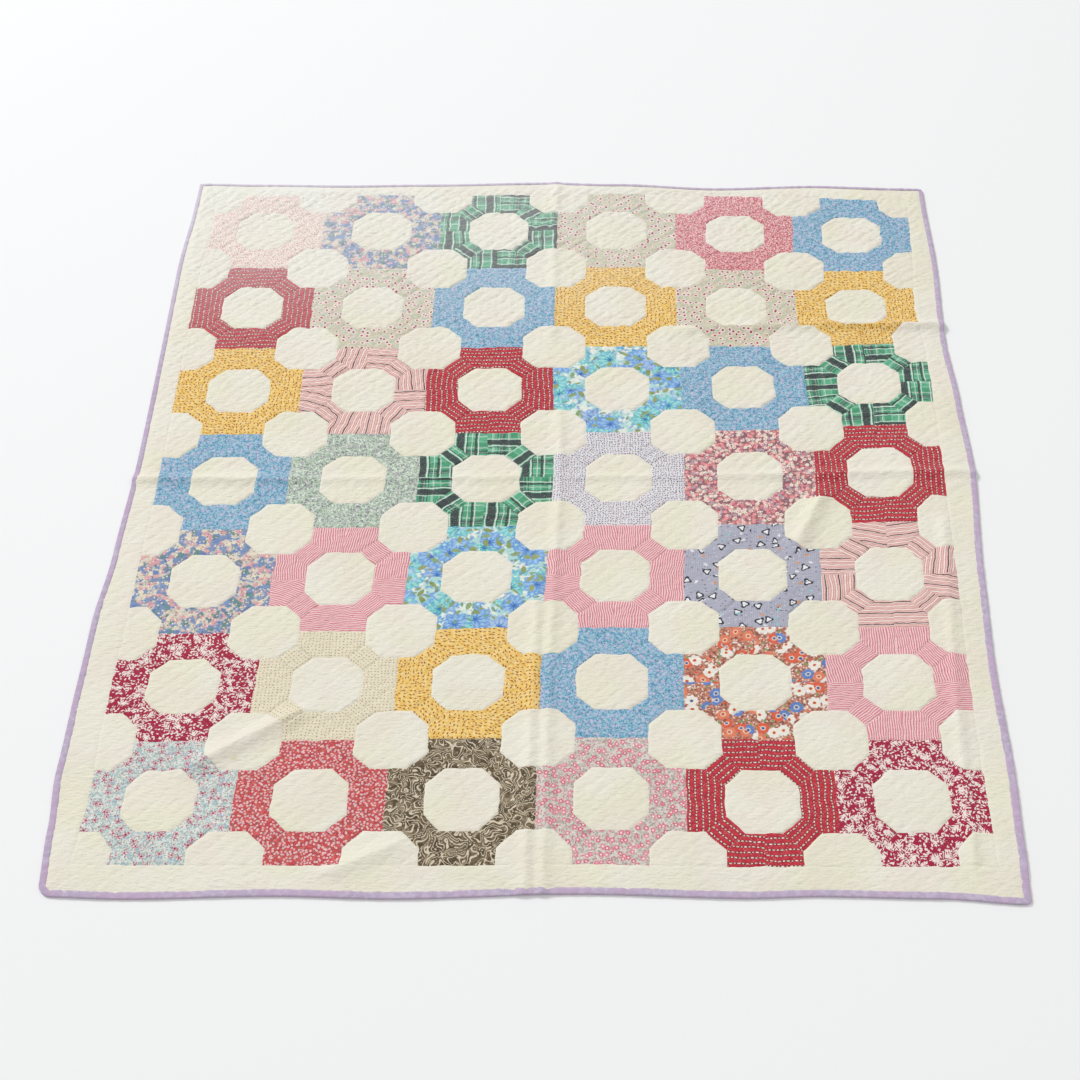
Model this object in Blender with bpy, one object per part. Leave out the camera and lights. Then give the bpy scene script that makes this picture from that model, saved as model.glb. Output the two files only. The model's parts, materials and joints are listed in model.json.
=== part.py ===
"""Patchwork quilt laid out flat: one quilted cloth, and a binding strip folded over each of its four edges.

Metres, +Z up. The quilt lies on Z = 0 with its foot towards -Y and its head towards +Y. Points are worked
out on the cloth as it was sewn, measured from the lower left corner of the rings, and then laid down: the
borders get their real uneven widths, the folds pull the cloth a little sideways, and the corners are rounded.
"""

import math

import bmesh
import bpy

MM = 0.001

# Patchwork
PATCH = 76.2 * MM
RING = 4 * PATCH
RINGS_ACROSS = 6
RINGS_ALONG = 7
WIDTH = RINGS_ACROSS * RING
LENGTH = RINGS_ALONG * RING

# Plain border outside the rings, as sewn
LEFT_BORDER = 62 * MM
RIGHT_BORDER = 54 * MM
FOOT_BORDER = 82 * MM
HEAD_BORDER = 45 * MM
LEFT = -LEFT_BORDER
RIGHT = WIDTH + RIGHT_BORDER
FOOT = -FOOT_BORDER
HEAD = LENGTH + HEAD_BORDER
SIDES = ("left", "right", "head", "foot")

# Layers
CLOTH_THICKNESS = 5.0 * MM
BINDING_WIDTH = 14.0 * MM
BINDING_CLOTH = 0.8 * MM
BINDING_HEIGHT = 4.3 * MM
GAP = 0.3 * MM
FOLD_ROOM = 0.7 * MM
MITRE_GAP = 0.25 * MM

# Lines on which the cloth is divided, measured in from each edge
PRESSED_INSET = BINDING_CLOTH + FOLD_ROOM
STEP_INSET = BINDING_WIDTH + GAP
FREE_INSET = STEP_INSET + 0.4 * MM
FULL_INSET = 28 * MM
EDGE_LINES = (PRESSED_INSET, 6 * MM, STEP_INSET, FREE_INSET, 21 * MM, FULL_INSET)
LINE_SPACING = 80 * MM
LEAST_SPACING = 36 * MM
CREASE_LINES = (-38 * MM, -14 * MM, 0.0, 14 * MM, 38 * MM)

# Corner radii
FOOT_LEFT_RADIUS = 30 * MM
FOOT_RIGHT_RADIUS = 12 * MM
HEAD_LEFT_RADIUS = 4 * MM
HEAD_RIGHT_RADIUS = 14 * MM

# Real width of each border: (rings along the side, width in mm)
LEFT_WIDTHS = (
    (-0.2, 53), (0.25, 59), (0.75, 71), (1.5, 76), (2.1, 77), (2.75, 65), (3.75, 58), (6.0, 60), (6.8, 51),
)
RIGHT_WIDTHS = (
    (-0.2, 49), (0.1, 54), (0.75, 59), (1.75, 51), (2.5, 53), (3.5, 65), (4.25, 56), (5, 46), (6, 53),
    (7, 43),
)
FOOT_WIDTHS = (
    (-0.2, 82), (0.4, 87), (1.35, 80), (2.1, 87), (3.35, 76), (4.35, 82), (4.85, 76), (5.6, 80), (6.15, 92),
)
HEAD_WIDTHS = (
    (-0.15, 55), (0.35, 48), (1.1, 44), (1.8, 49), (2.85, 55), (3.5, 45), (4.35, 26), (5.35, 47), (6.1, 45),
)

# Where the folds pull the cloth: (rings across, rings along, reach in rings, mm to the right, mm to the head)
PULLS = (
    (6.3, 7.1, 1.3, 4, -36),
    (6.0, 4.0, 1.1, 3, 25),
    (0.2, 6.7, 1.4, -9, 15),
    (0.4, 2.2, 1.2, 2, -14),
    (3.8, 3.6, 1.3, 11, 2),
    (0.8, 3.6, 0.9, 6, 3),
    (5.6, 1.0, 1.3, -9, 0),
    (5.2, 5.7, 0.9, -8, -16),
    (0.2, 0.3, 0.9, -10, -2),
    (3.2, 0.5, 1.1, 0, 6),
)

# Soft ridges: (from rings across, along, to rings across, along, height in mm, half width in mm)
RIDGES = (
    (-0.30, 3.52, 1.05, 3.50, 7, 15),
    (1.05, 3.50, 4.60, 3.50, 4, 13),
    (4.60, 3.50, 6.30, 3.47, 6, 15),
    (2.95, -0.35, 2.95, 2.60, 4, 15),
    (3.07, -0.35, 3.05, 4.10, 4, 15),
    (2.98, 5.20, 2.98, 7.20, 3, 14),
    (4.10, 5.20, 5.20, 5.27, 6, 18),
    (5.20, 5.27, 6.25, 5.22, 9, 18),
    (4.86, 2.85, 5.02, 3.22, 9, 22),
    (0.72, 0.80, 1.28, 1.20, 9, 24),
    (5.85, 0.10, 5.95, 2.90, 4, 16),
    (1.75, -0.02, 2.05, 0.12, 6, 22),
)
LEAST_LIFT = 0.5 * MM
RIDGE_END = 0.25 * RING

# Middle folds, where the cloth is divided more finely
CREASES_ACROSS = (3 * RING,)
CREASES_ALONG = (3.5 * RING, 5.25 * RING)


def soft_between(table, station):
    """The value at a station, easing from each row of (station, value) to the next."""
    if station <= table[0][0]:
        return table[0][1]
    for (low, first), (high, second) in zip(table, table[1:]):
        if station < high:
            share = (station - low) / (high - low)
            return first + (second - first) * share * share * (3 - 2 * share)
    return table[-1][1]


def border_shift(outside, sewn_width, real_width):
    """How far out a point of the border moves, to give the border its real width and the binding its own."""
    ease = min(1.0, max(0.0, outside / (sewn_width - FULL_INSET / 2)))
    return ease * (real_width - sewn_width)


def rounded(x, y):
    """Draws the four corners of the sewn rectangle in to their radii."""
    corners = (
        (LEFT, FOOT, 1, 1, FOOT_LEFT_RADIUS),
        (RIGHT, FOOT, -1, 1, FOOT_RIGHT_RADIUS),
        (LEFT, HEAD, 1, -1, HEAD_LEFT_RADIUS),
        (RIGHT, HEAD, -1, -1, HEAD_RIGHT_RADIUS),
    )
    for corner_x, corner_y, inward_x, inward_y, radius in corners:
        from_x = radius - (x - corner_x) * inward_x
        from_y = radius - (y - corner_y) * inward_y
        if from_x > 0 and from_y > 0:
            shrink = max(from_x, from_y) / math.hypot(from_x, from_y)
            x = corner_x + (radius - from_x * shrink) * inward_x
            y = corner_y + (radius - from_y * shrink) * inward_y
    return x, y


def laid(x, y):
    """Where a point of the sewn cloth lies, from the lower left corner of the rings."""
    x, y = rounded(x, y)
    across, along = x / RING, y / RING
    out_x = border_shift(x - WIDTH, RIGHT_BORDER, soft_between(RIGHT_WIDTHS, along) * MM)
    out_x -= border_shift(-x, LEFT_BORDER, soft_between(LEFT_WIDTHS, along) * MM)
    out_y = border_shift(y - LENGTH, HEAD_BORDER, soft_between(HEAD_WIDTHS, across) * MM)
    out_y -= border_shift(-y, FOOT_BORDER, soft_between(FOOT_WIDTHS, across) * MM)
    for pull_across, pull_along, reach, right, to_head in PULLS:
        distance = math.hypot(across - pull_across, along - pull_along) / reach
        hold = math.exp(-distance * distance)
        out_x += hold * right * MM
        out_y += hold * to_head * MM
    return x + out_x, y + out_y


def lift(x, y):
    """How far the cloth stands off the surface at a point of the sewn cloth."""
    height = 0.0
    for start_x, start_y, end_x, end_y, top, half_width in RIDGES:
        run_x, run_y = (end_x - start_x) * RING, (end_y - start_y) * RING
        run = math.hypot(run_x, run_y)
        from_x, from_y = x - start_x * RING, y - start_y * RING
        along = (from_x * run_x + from_y * run_y) / run
        aside = (from_x * run_y - from_y * run_x) / run / (half_width * MM)
        past = max(0.0, -along, along - run) / RIDGE_END
        height = max(height, top * MM * math.exp(-aside * aside - past * past * 4))
    return max(0.0, height - LEAST_LIFT)


def division(low, high, creases):
    """Lines across the cloth: close at both edges and at each crease, and evenly spaced between."""
    fine = [low + inset for inset in EDGE_LINES] + [high - inset for inset in EDGE_LINES]
    fine += [crease + offset for crease in creases for offset in CREASE_LINES]
    count = round((high - low) / LINE_SPACING)
    even = [low + (high - low) * step / count for step in range(1, count)]
    clear = [line for line in even if min(abs(line - other) for other in fine) > LEAST_SPACING]
    return sorted(fine + clear)


LINES_ACROSS = division(LEFT, RIGHT, CREASES_ACROSS)
LINES_ALONG = division(FOOT, HEAD, CREASES_ALONG)


def layer_heights(inset):
    """The underside and the top of the quilted cloth, above its lift, at a distance in from the edge."""
    pressed_low = BINDING_CLOTH + GAP
    pressed_high = BINDING_HEIGHT - BINDING_CLOTH - GAP
    if inset < FREE_INSET - GAP / 2:
        return pressed_low, pressed_high
    share = min(1.0, (inset - FREE_INSET) / (FULL_INSET - FREE_INSET))
    return 0.0, BINDING_HEIGHT + (CLOTH_THICKNESS - BINDING_HEIGHT) * share


def binding_section():
    """The folded strip's outline as (distance in from the edge, height): outer face, then inner face."""
    rise = BINDING_HEIGHT
    fold = BINDING_CLOTH
    outer = (
        (BINDING_WIDTH, 0.0),
        (1.5 * fold, 0.0),
        (0.35 * fold, 0.18 * rise),
        (0.0, 0.5 * rise),
        (0.35 * fold, 0.82 * rise),
        (1.5 * fold, rise),
        (BINDING_WIDTH, rise),
    )
    inner = (
        (BINDING_WIDTH, rise - fold),
        (fold, rise - fold),
        (fold, fold),
        (BINDING_WIDTH, fold),
    )
    return outer + inner


def strip_stations(side):
    """Where a side's strip is divided: at its two ends, and on the lines that it shares with the cloth."""
    if side in ("left", "right"):
        return [FOOT, *LINES_ALONG, HEAD]
    return [LEFT, *LINES_ACROSS, RIGHT]


def strip_point(side, station, inset):
    """A point of a side's strip on the sewn cloth, from how far along the side and how far in it is."""
    points = {
        "left": (LEFT + inset, station),
        "right": (RIGHT - inset, station),
        "foot": (station, FOOT + inset),
        "head": (station, HEAD - inset),
    }
    return points[side]


def mitred(station, inset, low, high):
    """Moves a station near either end of a strip, so that the strip ends on its corners' mitres."""
    for end, inward in ((low, 1), (high, -1)):
        distance = (station - end) * inward
        if distance < FREE_INSET:
            share = distance / FREE_INSET
            return end + inward * (FREE_INSET * share + (inset + MITRE_GAP) * (1 - share))
    return station


def laid_centre():
    """The middle of the laid quilt's box, from the lower left corner of the rings."""
    rim = [laid(*strip_point(side, station, 0.0)) for side in SIDES for station in strip_stations(side)]
    across = [point[0] for point in rim]
    along = [point[1] for point in rim]
    return (min(across) + max(across)) / 2, (min(along) + max(along)) / 2


def material(name, colour, roughness):
    made = bpy.data.materials.new(name)
    made.use_nodes = True
    shader = made.node_tree.nodes["Principled BSDF"]
    shader.inputs["Base Color"].default_value = (*colour, 1.0)
    shader.inputs["Roughness"].default_value = roughness
    shader.inputs["Metallic"].default_value = 0.0
    return made


def finish(name, mesh_points, faces, finish_material):
    """One closed body, its faces pointing out, as an object with one material."""
    working = bmesh.new()
    corners = [working.verts.new(point) for point in mesh_points]
    for face in faces:
        working.faces.new([corners[index] for index in face])
    bmesh.ops.recalc_face_normals(working, faces=working.faces)
    mesh = bpy.data.meshes.new(name)
    working.to_mesh(mesh)
    working.free()
    mesh.materials.append(finish_material)
    made = bpy.data.objects.new(name, mesh)
    bpy.context.scene.collection.objects.link(made)
    return made


def placed(x, y, height, centre):
    """A point of the sewn cloth, laid down, in world coordinates."""
    laid_x, laid_y = laid(x, y)
    return laid_x - centre[0], laid_y - centre[1], lift(x, y) + height


def make_quilt(centre, cloth):
    """The quilted cloth: the top and the underside on one grid, closed round the edge inside the binding."""
    columns, rows = len(LINES_ACROSS), len(LINES_ALONG)
    points = []
    for layer in (0, 1):
        for y in LINES_ALONG:
            for x in LINES_ACROSS:
                inset = min(x - LEFT, RIGHT - x, y - FOOT, HEAD - y)
                points.append(placed(x, y, layer_heights(inset)[layer], centre))
    top = columns * rows
    faces = []
    for row in range(rows - 1):
        for column in range(columns - 1):
            corner = row * columns + column
            cell = (corner, corner + 1, corner + columns + 1, corner + columns)
            faces.append(tuple(reversed(cell)))
            faces.append(tuple(index + top for index in cell))
    rim = list(range(columns))
    rim += [row * columns + columns - 1 for row in range(1, rows)]
    rim += [(rows - 1) * columns + column for column in range(columns - 2, -1, -1)]
    rim += [row * columns for row in range(rows - 2, 0, -1)]
    for first, second in zip(rim, rim[1:] + rim[:1]):
        faces.append((first, second, second + top, first + top))
    return finish("quilt", points, faces, cloth)


def make_binding(side, centre, cloth):
    """One strip of the binding, folded over a side and mitred at both ends."""
    stations = strip_stations(side)
    section = binding_section()
    points = []
    for station in stations:
        for inset, height in section:
            x, y = strip_point(side, mitred(station, inset, stations[0], stations[-1]), inset)
            points.append(placed(x, y, height, centre))
    around = len(section)
    faces = []
    for step in range(len(stations) - 1):
        for index in range(around):
            after = (index + 1) % around
            low, high = step * around, (step + 1) * around
            faces.append((low + index, low + after, high + after, high + index))
    faces.append(tuple(range(around)))
    faces.append(tuple((len(stations) - 1) * around + index for index in range(around)))
    return finish("binding_" + side, points, faces, cloth)


def main():
    for old in list(bpy.data.objects):
        bpy.data.objects.remove(old, do_unlink=True)
    centre = laid_centre()
    make_quilt(centre, material("quilted cotton", (0.85, 0.80, 0.67), 0.9))
    lilac = material("lilac cotton binding", (0.50, 0.38, 0.60), 0.85)
    for side in SIDES:
        make_binding(side, centre, lilac.copy())


main()
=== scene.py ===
"""Patchwork quilt lying flat: pieced print rings round plain octagons, quilted all over, backed and bound.

Every length is in metres unless a name or a comment says millimetres. Points are worked out on the cloth as
it was sewn, from the lower left corner of the rings, and are then laid down as the frame's own solids are.
"""

import json
import math
from collections import namedtuple
from functools import partial

import bpy
import numpy as np
from mathutils import Matrix, Vector

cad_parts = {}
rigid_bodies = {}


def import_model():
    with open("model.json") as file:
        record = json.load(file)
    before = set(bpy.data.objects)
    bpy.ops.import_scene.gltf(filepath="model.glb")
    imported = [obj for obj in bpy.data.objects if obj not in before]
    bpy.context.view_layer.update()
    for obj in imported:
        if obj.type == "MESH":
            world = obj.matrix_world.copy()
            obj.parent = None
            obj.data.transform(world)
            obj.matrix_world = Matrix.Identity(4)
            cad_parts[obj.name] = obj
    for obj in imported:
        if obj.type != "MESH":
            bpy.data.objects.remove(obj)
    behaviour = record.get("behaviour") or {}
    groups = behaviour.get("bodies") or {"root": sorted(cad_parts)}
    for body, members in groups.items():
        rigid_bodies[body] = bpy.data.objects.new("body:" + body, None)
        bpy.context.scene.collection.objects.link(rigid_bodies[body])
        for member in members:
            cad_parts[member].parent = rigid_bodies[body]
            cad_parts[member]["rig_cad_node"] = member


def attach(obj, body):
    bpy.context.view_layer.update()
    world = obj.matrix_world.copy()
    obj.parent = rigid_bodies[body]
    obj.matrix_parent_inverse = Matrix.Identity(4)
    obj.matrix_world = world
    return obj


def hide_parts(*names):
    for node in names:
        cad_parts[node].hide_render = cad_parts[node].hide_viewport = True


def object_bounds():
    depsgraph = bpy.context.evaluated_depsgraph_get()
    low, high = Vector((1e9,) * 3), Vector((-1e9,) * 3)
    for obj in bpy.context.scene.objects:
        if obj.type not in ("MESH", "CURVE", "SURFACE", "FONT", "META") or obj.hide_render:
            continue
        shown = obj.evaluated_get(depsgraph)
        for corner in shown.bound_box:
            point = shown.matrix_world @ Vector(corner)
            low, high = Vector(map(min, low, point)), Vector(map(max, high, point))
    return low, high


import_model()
CAD_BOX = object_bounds()

bl_info = {
    "name": "Patchwork quilt",
    "version": (1, 0, 0),
    "blender": (4, 5, 0),
    "location": "View3D > Sidebar > Quilt",
    "description": "Makes a pieced, quilted and bound cotton quilt lying flat",
    "category": "Object",
}

MM = 0.001

# ---------------------------------------------------------------- sizes that the frame's solids share

RINGS_ACROSS = 6
RINGS_ALONG = 7
PATCH = 76.2 * MM
RING = 4 * PATCH
WIDTH = RINGS_ACROSS * RING
LENGTH = RINGS_ALONG * RING
LEFT_BORDER = 62 * MM
RIGHT_BORDER = 54 * MM
FOOT_BORDER = 82 * MM
HEAD_BORDER = 45 * MM
LEFT = -LEFT_BORDER
RIGHT = WIDTH + RIGHT_BORDER
FOOT = -FOOT_BORDER
HEAD = LENGTH + HEAD_BORDER
FULL_INSET = 28 * MM
CORNER_RADII = {"foot left": 30 * MM, "foot right": 12 * MM, "head left": 4 * MM, "head right": 14 * MM}

# Real width of each border: (rings along the side, width in mm)
LEFT_WIDTHS = (
    (-0.2, 53), (0.25, 59), (0.75, 71), (1.5, 76), (2.1, 77), (2.75, 65), (3.75, 58), (6.0, 60), (6.8, 51),
)
RIGHT_WIDTHS = (
    (-0.2, 49), (0.1, 54), (0.75, 59), (1.75, 51), (2.5, 53), (3.5, 65), (4.25, 56), (5, 46), (6, 53),
    (7, 43),
)
FOOT_WIDTHS = (
    (-0.2, 82), (0.4, 87), (1.35, 80), (2.1, 87), (3.35, 76), (4.35, 82), (4.85, 76), (5.6, 80), (6.15, 92),
)
HEAD_WIDTHS = (
    (-0.15, 55), (0.35, 48), (1.1, 44), (1.8, 49), (2.85, 55), (3.5, 45), (4.35, 26), (5.35, 47), (6.1, 45),
)

# Where the folds pull the cloth: (rings across, rings along, reach in rings, mm to the right, mm to the head)
PULLS = (
    (6.3, 7.1, 1.3, 4, -36),
    (6.0, 4.0, 1.1, 3, 25),
    (0.2, 6.7, 1.4, -9, 15),
    (0.4, 2.2, 1.2, 2, -14),
    (3.8, 3.6, 1.3, 11, 2),
    (0.8, 3.6, 0.9, 6, 3),
    (5.6, 1.0, 1.3, -9, 0),
    (5.2, 5.7, 0.9, -8, -16),
    (0.2, 0.3, 0.9, -10, -2),
    (3.2, 0.5, 1.1, 0, 6),
)

# Soft ridges: (from rings across, along, to rings across, along, height in mm, half width in mm)
RIDGES = (
    (-0.30, 3.52, 1.05, 3.50, 7, 15),
    (1.05, 3.50, 4.60, 3.50, 4, 13),
    (4.60, 3.50, 6.30, 3.47, 6, 15),
    (2.95, -0.35, 2.95, 2.60, 4, 15),
    (3.07, -0.35, 3.05, 4.10, 4, 15),
    (2.98, 5.20, 2.98, 7.20, 3, 14),
    (4.10, 5.20, 5.20, 5.27, 6, 18),
    (5.20, 5.27, 6.25, 5.22, 9, 18),
    (4.86, 2.85, 5.02, 3.22, 9, 22),
    (0.72, 0.80, 1.28, 1.20, 9, 24),
    (5.85, 0.10, 5.95, 2.90, 4, 16),
    (1.75, -0.02, 2.05, 0.12, 6, 22),
)
RIDGE_END = 0.25 * RING

# How far the piecing strays inside the rim:
# (rings across, rings along, reach across, reach along, mm to the right, mm to the head)
EASES = (
    (3.0, 0.0, 4.0, 0.24, 0, -10),
    (6.0, 3.5, 0.24, 4.5, -8, 0),
    (4.5, 6.6, 0.6, 0.6, 7, -13),
    (4.5, 7.0, 0.4, 0.3, 0, -7),
    (5.6, 7.0, 0.5, 0.4, 0, -13),
    (0.5, 7.0, 0.4, 0.35, 0, -10),
    (0.0, 6.5, 0.3, 0.4, 9, 0),
    (6.0, 5.5, 0.4, 0.4, -10, 0),
    (2.7, 3.4, 0.6, 0.7, 6, 0),
    (1.0, 2.0, 0.4, 0.4, 5, 0),
    (2.0, 2.0, 0.4, 0.4, -4, -7),
    (1.5, 1.5, 0.4, 0.4, 5, -2),
    (0.05, 0.5, 0.35, 0.45, 12, 0),
    (2.5, 0.5, 0.4, 0.4, 4, -3),
    (4.5, 0.5, 0.45, 0.4, 3, -6),
)

# ---------------------------------------------------------------- sizes of the look

SEGMENTS = 18
EDGE_TUCK = 2.0 * MM
BACK_STEP = 12 * MM
STATION_STEP = 4 * MM
FLOOR_DROP = 1.0 * MM
FLOOR_SIZE = 400.0

# The top never lies closer to the surface than this, and a fold lower than the second lifts no edge or back
THINNEST = 1.6 * MM
LEAST_LIFT = 0.5 * MM

# The first seeds of the random draws: the turn and the start of each patch's cloth, and the binding's puckers
TURN_SEED = 100
START_SEED = 200
PUCKER_SEED = 300

# Share of a fold's height that its pressed crest adds to the top, and how fast the crest falls off
CREST = 0.25
CREST_FALL = 2.2


def metres(name, description, default):
    """A length that a user may change."""
    return bpy.props.FloatProperty(name=name, description=description, default=default, unit="LENGTH")


def srgb(name, description, default):
    """An sRGB hex colour that a user may change."""
    return bpy.props.StringProperty(name=name, description=description, default=default)


class QuiltSizes(bpy.types.PropertyGroup):
    """Sizes of the quilt's patches, quilting and binding."""

    clip: metres("Octagon clip", "How far along each side a plain octagon's corner is cut off", PATCH / 2)
    puff: metres("Puff", "How high the filling stands between quilting lines", 1.1 * MM)
    crinkle: metres("Crinkle", "Depth of the washed crinkles", 0.7 * MM)
    seam_depth: metres("Seam depth", "How far a patch seam sinks", 1.0 * MM)
    wobble: metres("Hand wobble", "How far a hand-sewn seam strays", 1.6 * MM)
    quilting_step: metres("Quilting step", "Distance along a patch between quilting lines", PATCH / 2)
    stitch_pitch: metres("Stitch pitch", "Distance from one quilting stitch to the next", 6.2 * MM)
    stitch_length: metres("Stitch length", "Length of thread that shows in a stitch", 3.4 * MM)
    thread: metres("Thread", "Thickness of a stitch at its middle", 0.8 * MM)
    binding_width: metres("Binding width", "Width of binding that shows on each face", 14 * MM)
    binding_height: metres("Binding height", "Thickness of the bound edge", 4.3 * MM)


class QuiltColours(bpy.types.PropertyGroup):
    """The plain cottons' colours. Each print's own colours are in its recipe."""

    plain: srgb("Plain cotton", "sRGB hex of the ivory", "#EEEADB")
    back: srgb("Back", "sRGB hex of the muslin back", "#EBE5D2")
    binding: srgb("Binding", "sRGB hex of the lilac", "#BFB0C7")
    thread: srgb("Thread", "sRGB hex of the thread", "#F4F0E6")
    floor: srgb("Floor", "sRGB hex of the floor", "#F5F5F5")


# ---------------------------------------------------------------- how the cloth lies


def soft_between(table, station):
    """The values at the stations, easing from each row of (station, value) to the next."""
    stations = np.array([row[0] for row in table], float)
    values = np.array([row[1] for row in table], float)
    place = np.clip(station, stations[0], stations[-1])
    low = np.clip(np.searchsorted(stations, place, side="right") - 1, 0, len(stations) - 2)
    share = (place - stations[low]) / (stations[low + 1] - stations[low])
    return values[low] + (values[low + 1] - values[low]) * share * share * (3 - 2 * share)


def border_shift(outside, sewn_width, real_width):
    """How far out points of a border move, to give the border its real width and the binding its own."""
    ease = np.clip(outside / (sewn_width - FULL_INSET / 2), 0, 1)
    return ease * (real_width - sewn_width)


def rounded(x, y):
    """Draws the four corners of the sewn rectangle in to their radii."""
    corners = (
        (LEFT, FOOT, 1, 1, "foot left"),
        (RIGHT, FOOT, -1, 1, "foot right"),
        (LEFT, HEAD, 1, -1, "head left"),
        (RIGHT, HEAD, -1, -1, "head right"),
    )
    for corner_x, corner_y, inward_x, inward_y, name in corners:
        radius = CORNER_RADII[name]
        from_x = radius - (x - corner_x) * inward_x
        from_y = radius - (y - corner_y) * inward_y
        inside = (from_x > 0) & (from_y > 0)
        diagonal = np.maximum(np.hypot(from_x, from_y), 1e-9)
        shrink = np.where(inside, np.maximum(from_x, from_y) / diagonal, 1.0)
        x = np.where(inside, corner_x + (radius - from_x * shrink) * inward_x, x)
        y = np.where(inside, corner_y + (radius - from_y * shrink) * inward_y, y)
    return x, y


def laid(x, y):
    """Where points of the sewn cloth lie, from the lower left corner of the rings."""
    x, y = rounded(np.asarray(x, float), np.asarray(y, float))
    across, along = x / RING, y / RING
    out_x = border_shift(x - WIDTH, RIGHT_BORDER, soft_between(RIGHT_WIDTHS, along) * MM)
    out_x -= border_shift(-x, LEFT_BORDER, soft_between(LEFT_WIDTHS, along) * MM)
    out_y = border_shift(y - LENGTH, HEAD_BORDER, soft_between(HEAD_WIDTHS, across) * MM)
    out_y -= border_shift(-y, FOOT_BORDER, soft_between(FOOT_WIDTHS, across) * MM)
    for pull_across, pull_along, reach, right, to_head in PULLS:
        hold = np.exp(-((across - pull_across) ** 2 + (along - pull_along) ** 2) / reach**2)
        out_x += hold * right * MM
        out_y += hold * to_head * MM
    return x + out_x, y + out_y


def lift(x, y, crest=0.0):
    """How far folds lift the cloth at points of the sewn cloth, with or without their pressed crests."""
    height = np.zeros(np.shape(x))
    for start_x, start_y, end_x, end_y, top, half_width in RIDGES:
        run_x, run_y = (end_x - start_x) * RING, (end_y - start_y) * RING
        run = math.hypot(run_x, run_y)
        from_x, from_y = x - start_x * RING, y - start_y * RING
        along = (from_x * run_x + from_y * run_y) / run
        aside = (from_x * run_y - from_y * run_x) / run / (half_width * MM)
        past = np.maximum(0.0, np.maximum(-along, along - run)) / RIDGE_END
        profile = np.exp(-aside * aside) + crest * np.exp(-CREST_FALL * np.abs(aside))
        height = np.maximum(height, top * MM * profile * np.exp(-past * past * 4))
    return height


def rim_centre():
    """The middle of the laid quilt's box, which the frame puts at its origin."""
    side = np.linspace(0, 1, 600)
    across = LEFT + (RIGHT - LEFT) * side
    along = FOOT + (HEAD - FOOT) * side
    edges = [laid(across, np.full(600, end)) for end in (FOOT, HEAD)]
    edges += [laid(np.full(600, end), along) for end in (LEFT, RIGHT)]
    x = np.concatenate([edge[0] for edge in edges])
    y = np.concatenate([edge[1] for edge in edges])
    middle = [(low + high) / 2 for low, high in zip(*CAD_BOX)]
    return (x.min() + x.max()) / 2 - middle[0], (y.min() + y.max()) / 2 - middle[1]


CENTRE = rim_centre()


def in_frame(x, y):
    """Laid places of sewn points, in the frame."""
    laid_x, laid_y = laid(x, y)
    return laid_x - CENTRE[0], laid_y - CENTRE[1]


def crumple(shape, step, along, across, turn, seed):
    """Smooth random waves on a grid, with these wavelengths along and across a direction, about -1 to 1."""
    rows, columns = shape
    white = np.random.default_rng(seed).standard_normal(shape)
    wave_y = np.fft.fftfreq(rows, step)[:, None]
    wave_x = np.fft.fftfreq(columns, step)[None, :]
    turned_x = wave_x * math.cos(turn) + wave_y * math.sin(turn)
    turned_y = wave_y * math.cos(turn) - wave_x * math.sin(turn)
    size = (turned_x * along) ** 2 + (turned_y * across) ** 2
    waves = np.fft.ifft2(np.fft.fft2(white) * size * np.exp(-size)).real
    return waves / (2.2 * waves.std())


def lines_between(low, count, high, step):
    """Grid lines over one direction of the cloth: both borders, and every step of the rings between."""
    span = count * RING
    first = np.linspace(low + EDGE_TUCK, 0, round(-low / step))[:-1]
    last = np.linspace(span, high - EDGE_TUCK, round((high - span) / step))[1:]
    return np.concatenate([first, np.linspace(0, span, count * 4 * SEGMENTS + 1), last])


# What a face of the top belongs to
BORDER, CENTRE_OCTAGON, CORNER_OCTAGON, SIDE_TAB, END_TAB, KNOT = range(6)

# More than the blocks in a row or a column, so that each patch has its own key
MOST_BLOCKS = 100


def patch_at(x, y, clip):
    """The kind of patch at sewn points, its ring and its block within the ring.

    A ring is two by two blocks. Each block has a print knot at its middle, two plain quarters of octagons in
    opposite corners, and two print squares in the others.
    """
    inside = (x > 0) & (x < WIDTH) & (y > 0) & (y < LENGTH)
    block_x = np.clip(np.floor(x / (2 * PATCH)), 0, 2 * RINGS_ACROSS - 1).astype(int)
    block_y = np.clip(np.floor(y / (2 * PATCH)), 0, 2 * RINGS_ALONG - 1).astype(int)
    local_x = x - (2 * block_x + 1) * PATCH
    local_y = y - (2 * block_y + 1) * PATCH
    to_ring_x = np.where(block_x % 2 == 0, local_x, -local_x)
    to_ring_y = np.where(block_y % 2 == 0, local_y, -local_y)
    kind = np.where(
        to_ring_x * to_ring_y > 0,
        np.where(to_ring_x > 0, CENTRE_OCTAGON, CORNER_OCTAGON),
        np.where(to_ring_x > 0, END_TAB, SIDE_TAB),
    )
    kind = np.where(np.abs(local_x) + np.abs(local_y) < clip, KNOT, kind)
    return np.where(inside, kind, BORDER), block_x, block_y, local_x, local_y


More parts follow.
